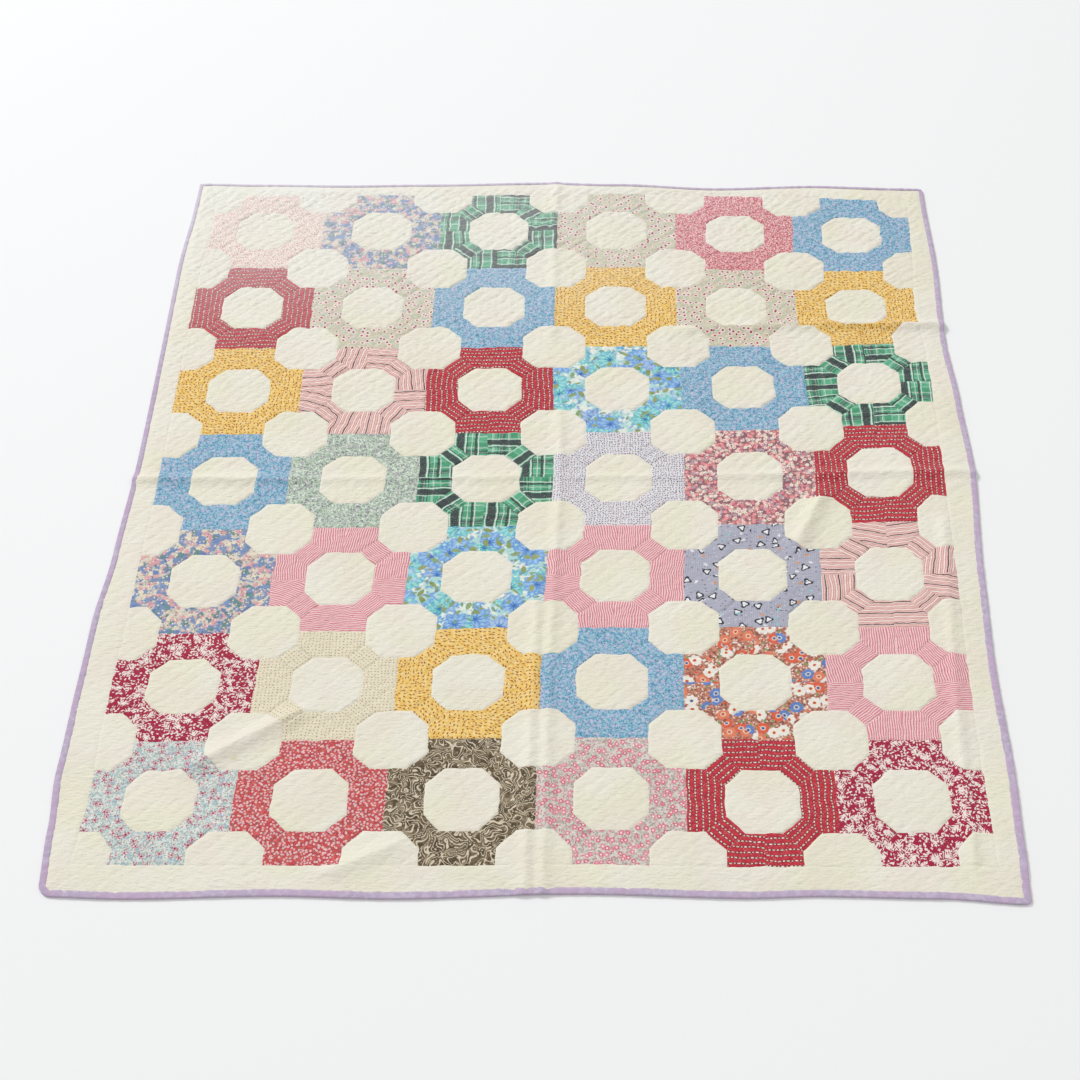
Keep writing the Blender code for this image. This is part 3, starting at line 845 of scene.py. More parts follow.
# rings are (row from the head, column from the left). grain is how the patches' lines run round their ring.
PRINTS = (
    Print("coral_sprig", "#F3E6D8", "mixed", ((1, 1),), (
        motifs(pitch=5.8, size=3.5, colours=("#D65F5A", "#E08075", "#C64E55"), stretch=1.7),
        motifs(pitch=8, size=2.6, colours=("#E59A88", "#B9B08C"), seed=3.3),
    )),
    Print("pastel_blotch", "#DCD3C2", "mixed", ((1, 2), (5, 1)), (
        mottle(size=24, colour="#DBA3A8", share=0.4, seed=1),
        mottle(size=34, colour="#7D94BC", share=0.42, seed=3),
        mottle(size=27, colour="#6C8F94", share=0.28, seed=2),
        motifs(pitch=19, size=15, colours=("#7189BA", "#8399C0", "#DDA6AA", "#EADCC4"), petals=5,
               notch=0.15, share=0.7),
        motifs(pitch=9, size=5, colours=("#F2E7CE", "#EBC2B8", "#F0E2C0"), seed=5, share=0.5, stretch=1.4),
        motifs(pitch=10, size=4.4, colours=("#4F7468", "#5B6C9A"), seed=9, share=0.6, stretch=2),
    )),
    Print("green_plaid", "#52AE84", "mixed", ((1, 3), (3, 6), (4, 3)), (
        bands(pitch=76, width=26, colour="#2F9066", along=False, cover=0.75),
        bands(pitch=76, width=13, colour="#222C36", offset=20, along=False, cover=0.72),
        bands(pitch=38, width=2.4, colour="#E3EDE2", offset=6, along=False, cover=0.6),
        bands(pitch=76, width=2.6, colour="#22303A", offset=32, along=False, cover=0.75),
        bands(pitch=19, width=1.8, colour="#CFE2D2", offset=3, along=False, cover=0.35),
        bands(pitch=76, width=17, colour="#20242D", cover=0.94),
        bands(pitch=76, width=3.2, colour="#E6EEE4", offset=12, cover=0.85),
        bands(pitch=76, width=2.4, colour="#26323B", offset=16, cover=0.85),
        bands(pitch=76, width=2.4, colour="#E6EEE4", offset=-11.5, cover=0.8),
        bands(pitch=76, width=5.5, colour="#20242D", offset=37, cover=0.9),
        bands(pitch=76, width=2.4, colour="#E6F0E4", offset=42.5, cover=0.8),
        bands(pitch=76, width=2, colour="#E6F0E4", offset=27, cover=0.65),
        bands(pitch=2.4, width=0.9, colour="#DDE8DF", cover=0.1),
    )),
    Print("sage_dot", "#D3CCB4", "mixed", ((1, 4), (2, 2), (2, 5)), (
        motifs(pitch=6.4, size=3, colours=("#BFC6A8", "#C9C3A4", "#E6DFCB"), seed=2),
        motifs(pitch=16, size=7, colours=("#8FC2C4", "#B5D5CE", "#93B9A0"), petals=5, notch=0.3, seed=7,
               share=0.85, heart="#E9E2BE"),
        motifs(pitch=11, size=3.4, colours=("#E5C878", "#D88A86", "#9FB68E"), seed=4, share=0.5),
        motifs(pitch=17, size=11.5, colours=("#F8EAE2", "#F5DEDA"), scatter=0.8, share=0.85, soft=0.15),
        motifs(pitch=17, size=6, colours=("#9E1C38", "#B83044", "#941A34"), scatter=0.8, share=0.85),
    )),
    Print("rose_ditsy", "#CE6370", "mixed", ((1, 5),), (
        motifs(pitch=4.8, size=5, colours=("#F6DED9", "#F1CAC6", "#E8A8A8"), petals=4, notch=0.25),
        motifs(pitch=9, size=2.6, colours=("#A8384C",), seed=4),
    )),
    Print("blue_ditsy", "#93BDD0", "mixed", ((1, 6), (2, 3), (3, 5), (4, 1), (6, 4)), (
        mottle(size=8, colour="#76A9C7", share=0.5, seed=4),
        motifs(pitch=6.6, size=5.2, colours=("#B8D2DE", "#A9C8DA", "#4680A8", "#4B8DA9"), seed=2,
               stretch=2.4),
        motifs(pitch=8, size=4.6, colours=("#3B7898", "#C6D8DE", "#3F82AA"), seed=8, stretch=2.6),
        motifs(pitch=13, size=9, colours=("#B4B4D8", "#BEB6D8", "#C6BAD6"), petals=5, notch=0.3,
               share=0.75, scatter=0.8, soft=0.2, heart="#CBD0E2"),
        motifs(pitch=11, size=4, colours=("#BDB6D6", "#A8C4DA"), seed=5, petals=4, notch=0.2, share=0.6),
    )),
    Print("golden_speck", "#F1C768", "mixed", ((2, 4), (2, 6), (3, 1), (6, 3)), (
        mottle(size=14, colour="#F3D083", share=0.45, seed=2),
        motifs(pitch=9.8, size=6, colours=("#9A4426", "#A8502C", "#84402A"), stretch=2.2, scatter=0.55,
               turn=0.12),
        motifs(pitch=9.8, size=4, colours=("#C97F35", "#FAE8B4", "#FAE8B4"), seed=0.5, stretch=1.8,
               scatter=0.6, turn=0.2),
    )),
    Print("pink_black_stripe", "#E8C3BA", "slant", ((3, 2), (5, 6)), (
        bands(pitch=10.4, width=3.6, colour="#F4E6DC", cover=0.95, wander=4),
        bands(pitch=5.2, width=1.3, colour="#C9606A", offset=2.4, cover=0.85, wander=4),
        bands(pitch=31.2, width=2.5, colour="#34363A", offset=9, cover=0.95, wander=4),
    )),
    Print("red_dash", "#B92A3C", "round", ((2, 1), (3, 3), (4, 6), (7, 5)), (
        mottle(size=10, colour="#C8333F", share=0.5, seed=3),
        bands(pitch=12.7, width=4.6, colour="#8E2030", offset=6.35, cover=0.4),
        dash_rows(pitch=12.7, every=8.2, colours=("#F2E4DC", "#E3BDB2", "#D5D6B8"), outline="#66262E"),
    )),
    Print("aqua_floral", "#B4DCDA", "mixed", ((3, 4), (5, 3)), (
        mottle(size=30, colour="#EAF0E4", share=0.5, seed=5, soft=0.05),
        motifs(pitch=62, size=72, colours=("#79A9DE", "#7CCBD2", "#8DB1E0", "#76C6CC"), petals=11,
               notch=0.09, soft=0.06, seed=2, share=0.9),
        motifs(pitch=62, size=64, colours=("#9AC3EA", "#A2DEDD", "#AFC8EC", "#9CDDD8"), petals=11,
               notch=0.3, soft=0.1, seed=2, share=0.9),
        mottle(size=12, colour="#5D8FCD", share=0.24, seed=7, soft=0.05, detail=3, cover=0.7),
        motifs(pitch=62, size=30, colours=("#5C8FD2", "#55B2BF", "#6C9AD6", "#4FAEB8"), petals=9,
               notch=0.28, soft=0.12, seed=2, share=0.9, heart="#3F6FB4"),
        motifs(pitch=34, size=26, colours=("#6D9FDA", "#7ACCCE", "#A3C6E4"), petals=7, notch=0.25,
               soft=0.1, seed=5, share=0.4, heart="#B7E2DF"),
        motifs(pitch=29, size=22, colours=("#9AA56E", "#8C9D5E", "#8FAA7A"), stretch=2, seed=8,
               share=0.5, soft=0.1),
        motifs(pitch=23, size=14, colours=("#98A26E", "#7FA58A"), stretch=2.2, seed=3, share=0.4,
               soft=0.1),
    )),
    Print("sage_leaf", "#CBD7C5", "mixed", ((4, 2),), (
        mottle(size=11, colour="#B3C5B0", share=0.45, seed=1),
        mottle(size=15, colour="#B4B2B2", share=0.22, seed=6),
        motifs(pitch=7.4, size=7, colours=("#84968C", "#97939E", "#8FAA93"), stretch=2.6, share=0.85),
        motifs(pitch=9, size=8, colours=("#E2EADD", "#8E8B98"), seed=3, stretch=2.2, share=0.5),
        motifs(pitch=6, size=3, colours=("#E1EADD", "#7A8A80"), seed=6, stretch=2),
    )),
    Print("lilac_lattice", "#E6E3E4", "round", ((4, 4),), (
        motifs(pitch=6.2, size=3.1, colours=("#62647C", "#7E7A96", "#58596E"), scatter=0.45),
        motifs(pitch=8.5, size=2.8, colours=("#C48FA4", "#B9B0CA"), scatter=0.4, seed=0.5),
    )),
    Print("pink_calico", "#94646E", "mixed", ((4, 5),), (
        motifs(pitch=10, size=11.6,
               colours=("#EE8A92", "#F2E0D2", "#E27580", "#B699A8", "#F0E2D2", "#F1B0AA"), petals=5,
               notch=0.12, share=0.95, heart="#F8E8DE"),
        motifs(pitch=10, size=3, colours=("#D9606E", "#7A5560", "#EBD9CC"), share=0.95),
        motifs(pitch=8, size=4.4, colours=("#F3E6D8", "#9DA27C", "#E9949A"), seed=5, stretch=1.6,
               share=0.75),
    )),
    Print("pink_pinstripe", "#E2939D", "upright", ((5, 2), (5, 4), (6, 6)), (
        bands(pitch=5.2, width=2.1, colour="#F7E4E0", cover=0.8, wander=6),
        bands(pitch=5.2, width=0.9, colour="#C8606F", offset=2.6, cover=0.65, wander=6),
    )),
    Print("slate_sprig", "#ACACBC", "mixed", ((5, 5),), (
        bands(pitch=5, width=2, colour="#BDBDCB", cover=0.7),
        motifs(pitch=44, size=23, colours=("#23242E",), petals=3, notch=0.2, scatter=0.7, seed=1,
               soft=0.08),
        motifs(pitch=44, size=13, colours=("#F2F1F3",), petals=3, notch=0.2, scatter=0.7, seed=1,
               soft=0.1),
        motifs(pitch=26, size=10, colours=("#D99A6C", "#8FC4CC", "#E8E6EA"), stretch=1.6, seed=6,
               share=0.5),
        motifs(pitch=12, size=3.4, colours=("#D2D2DE", "#6F7086"), seed=3, share=0.5),
    )),
    Print("crimson_leaf", "#A8183E", "out", ((6, 1), (7, 6)), (
        motifs(pitch=21, size=28, colours=("#F4E6DF", "#F1DDD7"), fronds=4, notch=0.36, stretch=1.5,
               soft=0.04, share=0.5),
        motifs(pitch=7, size=7.6, colours=("#F4E6DF",), stretch=2.2, seed=4, share=0.5, soft=0.12),
        motifs(pitch=6, size=6, colours=("#F2E2DB",), stretch=2.1, seed=9, share=0.34, soft=0.12),
        mottle(size=9, colour="#A0173A", share=0.12, seed=3),
    )),
    Print("tan_speck", "#E9DFC6", "mixed", ((6, 2),), (
        motifs(pitch=8, size=3.2, colours=("#B59E74", "#B0A082", "#C8B890"), scatter=0.3),
    )),
    Print("bold_floral", "#A3634F", "mixed", ((6, 5),), (
        mottle(size=7, colour="#D08F78", share=0.5, seed=1),
        motifs(pitch=6.4, size=4, colours=("#6B4A48", "#E6D2C2", "#C4765A", "#EAD9CC"), seed=3,
               share=0.85),
        motifs(pitch=17, size=10, colours=("#7E9A62", "#D0573E", "#EFE7DC"), stretch=1.9, seed=9,
               share=0.7),
        motifs(pitch=33, size=30, colours=("#DE6044", "#5F86C8", "#F1EBE2", "#E58060", "#F1EBE2"),
               petals=8, notch=0.08, soft=0.06, seed=4, share=0.92, heart="#F1E4C4"),
        motifs(pitch=33, size=7, colours=("#3C5FA8", "#C94B38"), seed=4, share=0.92),
    )),
    Print("pale_rose", "#D3DCD6", "mixed", ((7, 1),), (
        mottle(size=12, colour="#A5BFD2", share=0.3, seed=2),
        motifs(pitch=8, size=8, colours=("#E9E8E0", "#DDE2DA", "#B3C7C8"), petals=5, notch=0.2, seed=3),
        motifs(pitch=6, size=5.2, colours=("#8DA698", "#9AB5A4", "#B5A79A", "#95A5B0"), seed=7,
               stretch=3, share=0.9),
        motifs(pitch=5, size=2.6, colours=("#E8EAE2", "#8A9F9A"), seed=1, stretch=1.8, share=0.8),
        motifs(pitch=21, size=18, colours=("#C4728A", "#D08A9C", "#B85C76"), petals=5, notch=0.45,
               share=0.75, stretch=1.3),
        motifs(pitch=21, size=9, colours=("#EBD3D3", "#E3BCC2"), petals=4, notch=0.3, share=0.75),
        motifs(pitch=21, size=4.4, colours=("#A83250", "#9C3048"), share=0.75),
        motifs(pitch=10, size=3.6, colours=("#C45C72", "#D58C98"), seed=6, share=0.4),
    )),
    Print("coral_ditsy", "#C6474E", "mixed", ((7, 2),), (
        mottle(size=9, colour="#D4605C", share=0.4, seed=6),
        motifs(pitch=8, size=5, colours=("#8E4A44", "#8C7460", "#94564C"), seed=5, stretch=1.9, share=0.9),
        motifs(pitch=7, size=4.8, colours=("#F6DEDA", "#F1C6C6", "#E9D5DA"), petals=5, notch=0.12,
               share=0.9, heart="#D8707A"),
    )),
    Print("taupe_scroll", "#76644A", "mixed", ((7, 3),), (
        mottle(size=22, colour="#56462F", share=0.5, seed=2),
        mottle(size=16, colour="#98886E", share=0.2, seed=8),
        scrolls(size=26, every=0.085, width=0.024, colour="#DACDB4", seed=1),
        motifs(pitch=19, size=10, colours=("#4A3C29", "#54452F"), stretch=1.8, seed=3, share=0.5,
               soft=0.1, heart="#CDBFA2"),
        motifs(pitch=8, size=2.8, colours=("#DDD0B8", "#43361F"), seed=5, share=0.5, stretch=1.8),
    )),
    Print("grey_rose", "#DAD2CA", "mixed", ((7, 4),), (
        mottle(size=9, colour="#C2B9B0", share=0.42, seed=8),
        motifs(pitch=6.2, size=5, colours=("#857B74", "#ECE6DE", "#948F7E", "#A8A094"), seed=5,
               share=0.9, stretch=2.8),
        motifs(pitch=16, size=12, colours=("#E0748A", "#E58C9A", "#D9677C"), petals=5, notch=0.12,
               share=0.9, scatter=0.85, heart="#F6E4DE"),
        motifs(pitch=10, size=4.4, colours=("#DD8392",), seed=9, share=0.6, petals=3, notch=0.1),
    )),
)


def patch_turns(grain, count, seed):
    """The angle of the lengthwise grain in each patch: knots, side tabs and end tabs of each block."""
    rng = np.random.default_rng(seed)
    turns = np.zeros((count, 2, 2, 3))
    for block_x in (0, 1):
        for block_y in (0, 1):
            diagonal = -math.pi / 4 if block_x == block_y else math.pi / 4
            turns[:, block_x, block_y] = (diagonal, math.pi / 2, 0.0)
    if grain == "out":
        turns += math.pi / 2
    if grain == "mixed":
        turns += rng.integers(0, 2, turns.shape) * math.pi / 2
    if grain == "upright":
        turns[..., 2] += math.pi / 2
        turns += (rng.uniform(0, 1, turns.shape) < 0.25) * math.pi / 2 + rng.normal(0, 0.13, turns.shape)
    if grain == "slant":
        turns += rng.integers(0, 2, turns.shape) * math.pi / 2 + rng.normal(0, 0.16, turns.shape)
    return turns + rng.normal(0, 0.02, turns.shape)


def bake_cell(place, index, count):
    """Puts map coordinates from 0 to 1 in one cell of a square layout that holds this many."""
    side = math.ceil(math.sqrt(count))
    cell = np.stack([index % side, index // side], 1).astype(float)
    return (cell + 0.02 + 0.96 * np.clip(place, 0, 1)) / side


def face_rows(top, clip):
    """The top's squares and its triangles, with where they were sewn and the patch that each belongs to."""
    sewn = np.stack([top.x.ravel(), top.y.ravel()], 1)
    found = []
    for faces in (top.squares, top.triangles):
        corners = sewn[faces]
        middle = corners.mean(1)
        kind, block_x, block_y, _, _ = patch_at(middle[:, 0], middle[:, 1], clip)
        found.append((faces, corners, middle, kind, block_x, block_y))
    return found


def joined_maps(chosen):
    """UV values of groups of faces, corner by corner."""
    return np.concatenate([values.reshape(-1, 2) for values in chosen])


def make_print_patches(sizes):
    """Every print's patches, one piece for each print."""
    top = quilt_top(sizes)
    points = top.points.reshape(-1, 3)
    rows = face_rows(top, sizes.clip)
    for number, fabric in enumerate(PRINTS):
        rings = [(column - 1, RINGS_ALONG - row) for row, column in fabric.rings]
        turns = patch_turns(fabric.grain, len(rings), TURN_SEED + number)
        starts = np.random.default_rng(START_SEED + number).uniform(0, 1, (*turns.shape, 2))
        picked, cloth_maps, bake_maps = [], [], []
        for faces, corners, middle, kind, block_x, block_y in rows:
            ring_of = np.full(len(faces), -1)
            for index, (ring_x, ring_y) in enumerate(rings):
                ring_of[(block_x // 2 == ring_x) & (block_y // 2 == ring_y)] = index
            mine = (ring_of >= 0) & (kind >= SIDE_TAB)
            part = np.select([kind[mine] == KNOT, kind[mine] == SIDE_TAB], [0, 1], 2)
            key = (ring_of[mine], block_x[mine] % 2, block_y[mine] % 2, part)
            turn, start = turns[key][:, None], starts[key][:, None, :]
            place = corners[mine]
            along = place[..., 0] * np.cos(turn) + place[..., 1] * np.sin(turn)
            across = place[..., 1] * np.cos(turn) - place[..., 0] * np.sin(turn)
            cloth_maps.append(np.stack([along, across], 2) + start)
            low = np.array(rings, float)[ring_of[mine]][:, None, :] * RING
            index = np.repeat(ring_of[mine], place.shape[1])
            bake_maps.append(bake_cell(((place - low) / RING).reshape(-1, 2), index, len(rings)))
            picked.append(faces[mine])
        # Roller-printed dress cotton: flat dull dyes, the print's edges crisp and its ground a little faded
        material = cotton("printed cotton " + fabric.name, fabric.ground, fabric.layers)
        maps = {"Cloth": joined_maps(cloth_maps), "OFBake": joined_maps(bake_maps)}
        new_piece("patches_" + fabric.name, points, picked, material, maps)


# Old stains on the plain cotton: (x, y, radius in metres, colour, strength)
PLAIN_STAINS = ((-0.62, -0.80, 0.010, "#D8C98A", 0.5), (-0.39, -1.02, 0.006, "#C08A5A", 0.5))


def make_plain_patches(sizes, colours):
    """The plain octagons and the plain border."""
    top = quilt_top(sizes)
    points = top.points.reshape(-1, 3)
    rows = face_rows(top, sizes.clip)
    # Bleached muslin gone ivory with age: nearly even, with wide yellower and pinker clouds and old stains
    age = (
        mottle(size=170, colour="#E9E5C9", share=0.45, seed=3, soft=0.12, cover=0.6),
        mottle(size=110, colour="#EDE2D4", share=0.4, seed=6, soft=0.12, cover=0.55),
        stains(spots=PLAIN_STAINS),
    )
    material = cotton("ivory muslin", colours.plain, age, fade=0.03)
    layouts = (
        ("plain_centre_octagons", CENTRE_OCTAGON, 0.25, RINGS_ACROSS, RINGS_ALONG),
        ("plain_corner_octagons", CORNER_OCTAGON, -0.25, RINGS_ACROSS + 1, RINGS_ALONG + 1),
    )
    for name, wanted, start, across, along in layouts:
        picked, cloth_maps, bake_maps = [], [], []
        for faces, corners, middle, kind, _, _ in rows:
            mine = kind == wanted
            cell = np.floor(middle[mine] / RING - start)
            place = (corners[mine] - (cell[:, None, :] + start) * RING) / (2 * PATCH)
            index = np.repeat(cell[:, 0] + cell[:, 1] * across, corners.shape[1])
            bake_maps.append(bake_cell(place.reshape(-1, 2), index, across * along))
            cloth_maps.append(corners[mine])
            picked.append(faces[mine])
        maps = {"Cloth": joined_maps(cloth_maps), "OFBake": joined_maps(bake_maps)}
        new_piece(name, points, picked, material, maps)
    faces, corners, _, kind, _, _ = rows[0]
    mine = kind == BORDER
    place = corners[mine].reshape(-1, 2)
    maps = {"Cloth": place, "OFBake": (place - np.array([LEFT, FOOT])) / (HEAD - FOOT)}
    new_piece("plain_border", points, [faces[mine]], material, maps)


def make_back(sizes, colours):
    """The muslin back, one sheet under the whole quilt."""
    count_x = round((RIGHT - LEFT) / BACK_STEP)
    count_y = round((HEAD - FOOT) / BACK_STEP)
    x, y = np.meshgrid(
        np.linspace(LEFT + EDGE_TUCK, RIGHT - EDGE_TUCK, count_x),
        np.linspace(FOOT + EDGE_TUCK, HEAD - EDGE_TUCK, count_y),
    )
    place_x, place_y = in_frame(x, y)
    inset = np.minimum(np.minimum(x - LEFT, RIGHT - x), np.minimum(y - FOOT, HEAD - y))
    bound = np.interp(inset, [EDGE_TUCK, 13 * MM, 18 * MM], [1.2 * MM, 1.0 * MM, 0.0])
    points = np.stack([place_x, place_y, bound + np.maximum(lift(x, y) - LEAST_LIFT, 0)], 2).reshape(-1, 3)
    corner = np.arange(count_x * count_y).reshape(count_y, count_x)
    around = (corner[:-1, :-1], corner[1:, :-1], corner[1:, 1:], corner[:-1, 1:])
    squares = np.stack([group.ravel() for group in around], 1)
    sewn = np.stack([x.ravel(), y.ravel()], 1)[squares].reshape(-1, 2)
    maps = {"Cloth": sewn, "OFBake": (sewn - np.array([LEFT, FOOT])) / (HEAD - FOOT)}
    # Unbleached muslin: creamier than the top, softer and a little uneven
    age = (mottle(size=140, colour="#E6DDC2", share=0.45, seed=2, soft=0.12, cover=0.6),)
    material = cotton("unbleached muslin back", colours.back, age, fade=0.04)
    return new_piece("quilt_back", points, [squares], material, maps)


# Each side of the binding, and the share of its width that shows on the top at its two ends
BINDING_SHOWN = (("left", 1.12, 0.72), ("right", 1.14, 0.78), ("head", 0.66, 0.66), ("foot", 1.12, 1.06))

# How far in the binding's round outer edge reaches, and how far a usual pucker goes up and inwards
BINDING_NOSE = 2.2 * MM
PUCKER_RISE = 0.34 * MM
PUCKER_REACH = 0.35 * MM


def binding_section(width, rise):
    """The folded strip's outline as (distance in from the edge, height): outer face, then inner face."""
    turn = np.linspace(-math.pi / 2, math.pi / 2, 9)
    nose = 0.42 * rise
    outer = [(width, 0.0), (0.5 * width, 0.0)]
    outer += [(nose * (1 - math.cos(angle)), rise * (0.5 + 0.5 * math.sin(angle))) for angle in turn]
    outer += [(0.4 * width, rise + 0.3 * MM), (0.7 * width, rise), (width - 0.5 * MM, rise - 0.3 * MM)]
    inner = [(width, rise - 0.9 * MM), (1.2 * MM, rise - 1.2 * MM), (1.2 * MM, 1.2 * MM), (width, 0.5 * MM)]
    return np.array(outer + inner)


def strip_places(side, station, inset):
    """Sewn places on a side's strip, from how far along the side and how far in they are."""
    if side == "left":
        return LEFT + inset, station
    if side == "right":
        return RIGHT - inset, station
    if side == "foot":
        return station, FOOT + inset
    return station, HEAD - inset


def mitred(station, inset, low, high, reach):
    """Stations drawn in near both ends of a side, so that its strip meets the next at a mitre."""
    for end, inward in ((low, 1), (high, -1)):
        distance = (station - end) * inward
        share = np.clip(distance / reach, 0, 1)
        mitre = end + inward * (distance * share + (inset + 0.2 * MM) * (1 - share))
        station = np.where(distance < reach, mitre, station)
    return station


def make_binding(sizes, colours):
    """The four strips of folded lilac binding, gathered into fine puckers by their stitches."""
    # Dyed plain-weave cotton, folded double and gathered by its stitches: darker bands across it are painted
    # shade between the gathers, and it is worn paler on the fold. The painted bands are drawn 4 mm apart,
    # where the real gathers are 2 to 3 mm, or they wouldn't show.
    gather_shade_and_mottle = (
        bands(pitch=4, width=1.7, colour="#A18CB2", along=False, cover=0.35, wander=6),
        mottle(size=12, colour="#CFC3D6", share=0.4, seed=4, soft=0.08, cover=0.6),
        mottle(size=60, colour="#C4A6C4", share=0.4, seed=7, soft=0.1, cover=0.5),
    )
    material = cotton("dyed cotton binding", colours.binding, gather_shade_and_mottle, fade=0.07, creases=0.5)
    width = sizes.binding_width
    section = binding_section(width, sizes.binding_height)
    across = np.concatenate([[0], np.cumsum(np.hypot(*np.diff(section, axis=0).T))])
    for number, (side, share_first, share_last) in enumerate(BINDING_SHOWN):
        low, high = (FOOT, HEAD) if side in ("left", "right") else (LEFT, RIGHT)
        count = round((high - low) / STATION_STEP)
        stations = np.linspace(low, high, count + 1)
        pucker = np.random.default_rng(PUCKER_SEED + number).normal(0, 1, count + 1)
        pucker = ((pucker + 0.5 * np.roll(pucker, 1) + 0.5 * np.roll(pucker, -1)) / 1.3)[:, None]
        station, inset = np.meshgrid(stations, section[:, 0], indexing="ij")
        shown = share_first + (share_last - share_first) * (station - low) / (high - low)
        inset = inset * np.where(inset > BINDING_NOSE, shown, 1.0)
        height = np.broadcast_to(section[:, 1], station.shape)
        station = mitred(station, inset, low, high, width * 1.1)
        on_top = np.clip((height / sizes.binding_height - 0.3) * 2, 0, 1)
        on_inner_edge = np.clip(inset / width - 0.5, 0, 1)
        x, y = strip_places(side, station, inset + pucker * PUCKER_REACH * on_inner_edge)
        place_x, place_y = in_frame(x, y)
        height = height + pucker * PUCKER_RISE * on_top + np.maximum(lift(x, y) - LEAST_LIFT, 0)
        points = np.stack([place_x, place_y, height], 2).reshape(-1, 3)
        corner = np.arange(len(points)).reshape(station.shape)
        after = np.roll(corner, -1, 1)
        squares = np.stack([group.ravel() for group in (corner[:-1], corner[1:], after[1:], after[:-1])], 1)
        ends = np.stack([corner[0], corner[-1][::-1]])
        if side in ("left", "head"):
            squares, ends = squares[:, ::-1], ends[:, ::-1]
        flat = np.stack([station, np.broadcast_to(across, station.shape)], 2).reshape(-1, 2)
        maps = {"Cloth": joined_maps([flat[squares], flat[ends]])}
        piece = new_piece("binding_strip_" + side, points, [squares, ends], material, maps)
        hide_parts("binding_" + side)


# ---------------------------------------------------------------- stitches

STITCH_RISE = 0.2 * MM
QUILTING_INSET = 17 * MM
SHORTEST_LINE = 20 * MM


def stitch_tree(name):
    """Geometry Nodes that set a stitch at every pitch along sewing lines, with a little hand unevenness."""
    tree = bpy.data.node_groups.new(name, "GeometryNodeTree")
    face = tree.interface
    face.new_socket("Geometry", in_out="INPUT", socket_type="NodeSocketGeometry")
    for socket in ("Pitch", "Length", "Thread"):
        face.new_socket(socket, in_out="INPUT", socket_type="NodeSocketFloat")
    face.new_socket("Material", in_out="INPUT", socket_type="NodeSocketMaterial")
    face.new_socket("Geometry", in_out="OUTPUT", socket_type="NodeSocketGeometry")
    given = tree.nodes.new("NodeGroupInput").outputs
    lines = add_node(tree, "GeometryNodeMeshToCurve", {"Mesh": given[0]}).outputs[0]
    wires = {"Curve": lines, "Length": given["Pitch"]}
    spaced = add_node(tree, "GeometryNodeResampleCurve", wires, mode="LENGTH").outputs[0]
    tangent = add_node(tree, "GeometryNodeInputTangent").outputs[0]
    turn = add_node(tree, "FunctionNodeAlignRotationToVector", {"Vector": tangent}, axis="Z").outputs[0]
    # A stitch is a closed spindle of six faces that dips into the cloth at both ends
    ball = {"Segments": 3, "Rings": 2, "Radius": 0.5}
    spindle = add_node(tree, "GeometryNodeMeshUVSphere", ball).outputs[0]
    stretch = {0: given["Thread"], 1: given["Thread"], 2: given["Length"]}
    scale = add_node(tree, "ShaderNodeCombineXYZ", stretch).outputs[0]
    stitch = add_node(tree, "GeometryNodeTransform", {"Geometry": spindle, "Scale": scale}).outputs[0]
    limits = {0: (0.8, 0.8, 0.75), 1: (1.1, 1.1, 1.15), "Seed": 5}
    uneven = add_node(tree, "FunctionNodeRandomValue", limits, data_type="FLOAT_VECTOR").outputs[0]
    wires = {"Points": spaced, "Instance": stitch, "Rotation": turn, "Scale": uneven}
    placed = add_node(tree, "GeometryNodeInstanceOnPoints", wires).outputs[0]
    real = add_node(tree, "GeometryNodeRealizeInstances", {0: placed}).outputs[0]
    finish = add_node(tree, "GeometryNodeSetMaterial", {"Geometry": real, "Material": given["Material"]})
    tree.links.new(finish.outputs[0], tree.nodes.new("NodeGroupOutput").inputs[0])
    return tree


def stitched(name, lines, sizes, material):
    """Sews stitches along polylines of points, and makes them one plain mesh piece."""
    ends = np.cumsum([len(line) for line in lines])
    first = np.setdiff1d(np.arange(ends[-1] - 1), ends - 1)
    guide_mesh = bpy.data.meshes.new(name + "_guide")
    guide_mesh.from_pydata(np.concatenate(lines).tolist(), np.stack([first, first + 1], 1).tolist(), [])
    guide = bpy.data.objects.new(name + "_guide", guide_mesh)
    bpy.context.scene.collection.objects.link(guide)
    tree = stitch_tree(name + " stitches")
    modifier = guide.modifiers.new("Stitches", "NODES")
    modifier.node_group = tree
    sockets = {item.name: item.identifier for item in tree.interface.items_tree if item.in_out == "INPUT"}
    modifier[sockets["Pitch"]] = sizes.stitch_pitch
    modifier[sockets["Length"]] = sizes.stitch_length
    modifier[sockets["Thread"]] = sizes.thread
    modifier[sockets["Material"]] = material
    graph = bpy.context.evaluated_depsgraph_get()
    mesh = bpy.data.meshes.new_from_object(guide.evaluated_get(graph), depsgraph=graph)
    mesh.name = name
    bpy.data.objects.remove(guide, do_unlink=True)
    bpy.data.meshes.remove(guide_mesh)
    while mesh.uv_layers:
        mesh.uv_layers.remove(mesh.uv_layers[0])
    places = np.zeros(len(mesh.vertices) * 3, np.float32)
    mesh.vertices.foreach_get("co", places)
    corners = np.zeros(len(mesh.loops), np.int32)
    mesh.loops.foreach_get("vertex_index", corners)
    flat = places.reshape(-1, 3)[corners][:, :2]
    for map_name, scale in (("Cloth", 1.0), ("OFBake", 0.4)):
        layer = mesh.uv_layers.new(name=map_name)
        layer.data.foreach_set("uv", (flat * scale + 0.5).astype(np.float32).ravel())
    finish_piece(name, mesh, material)


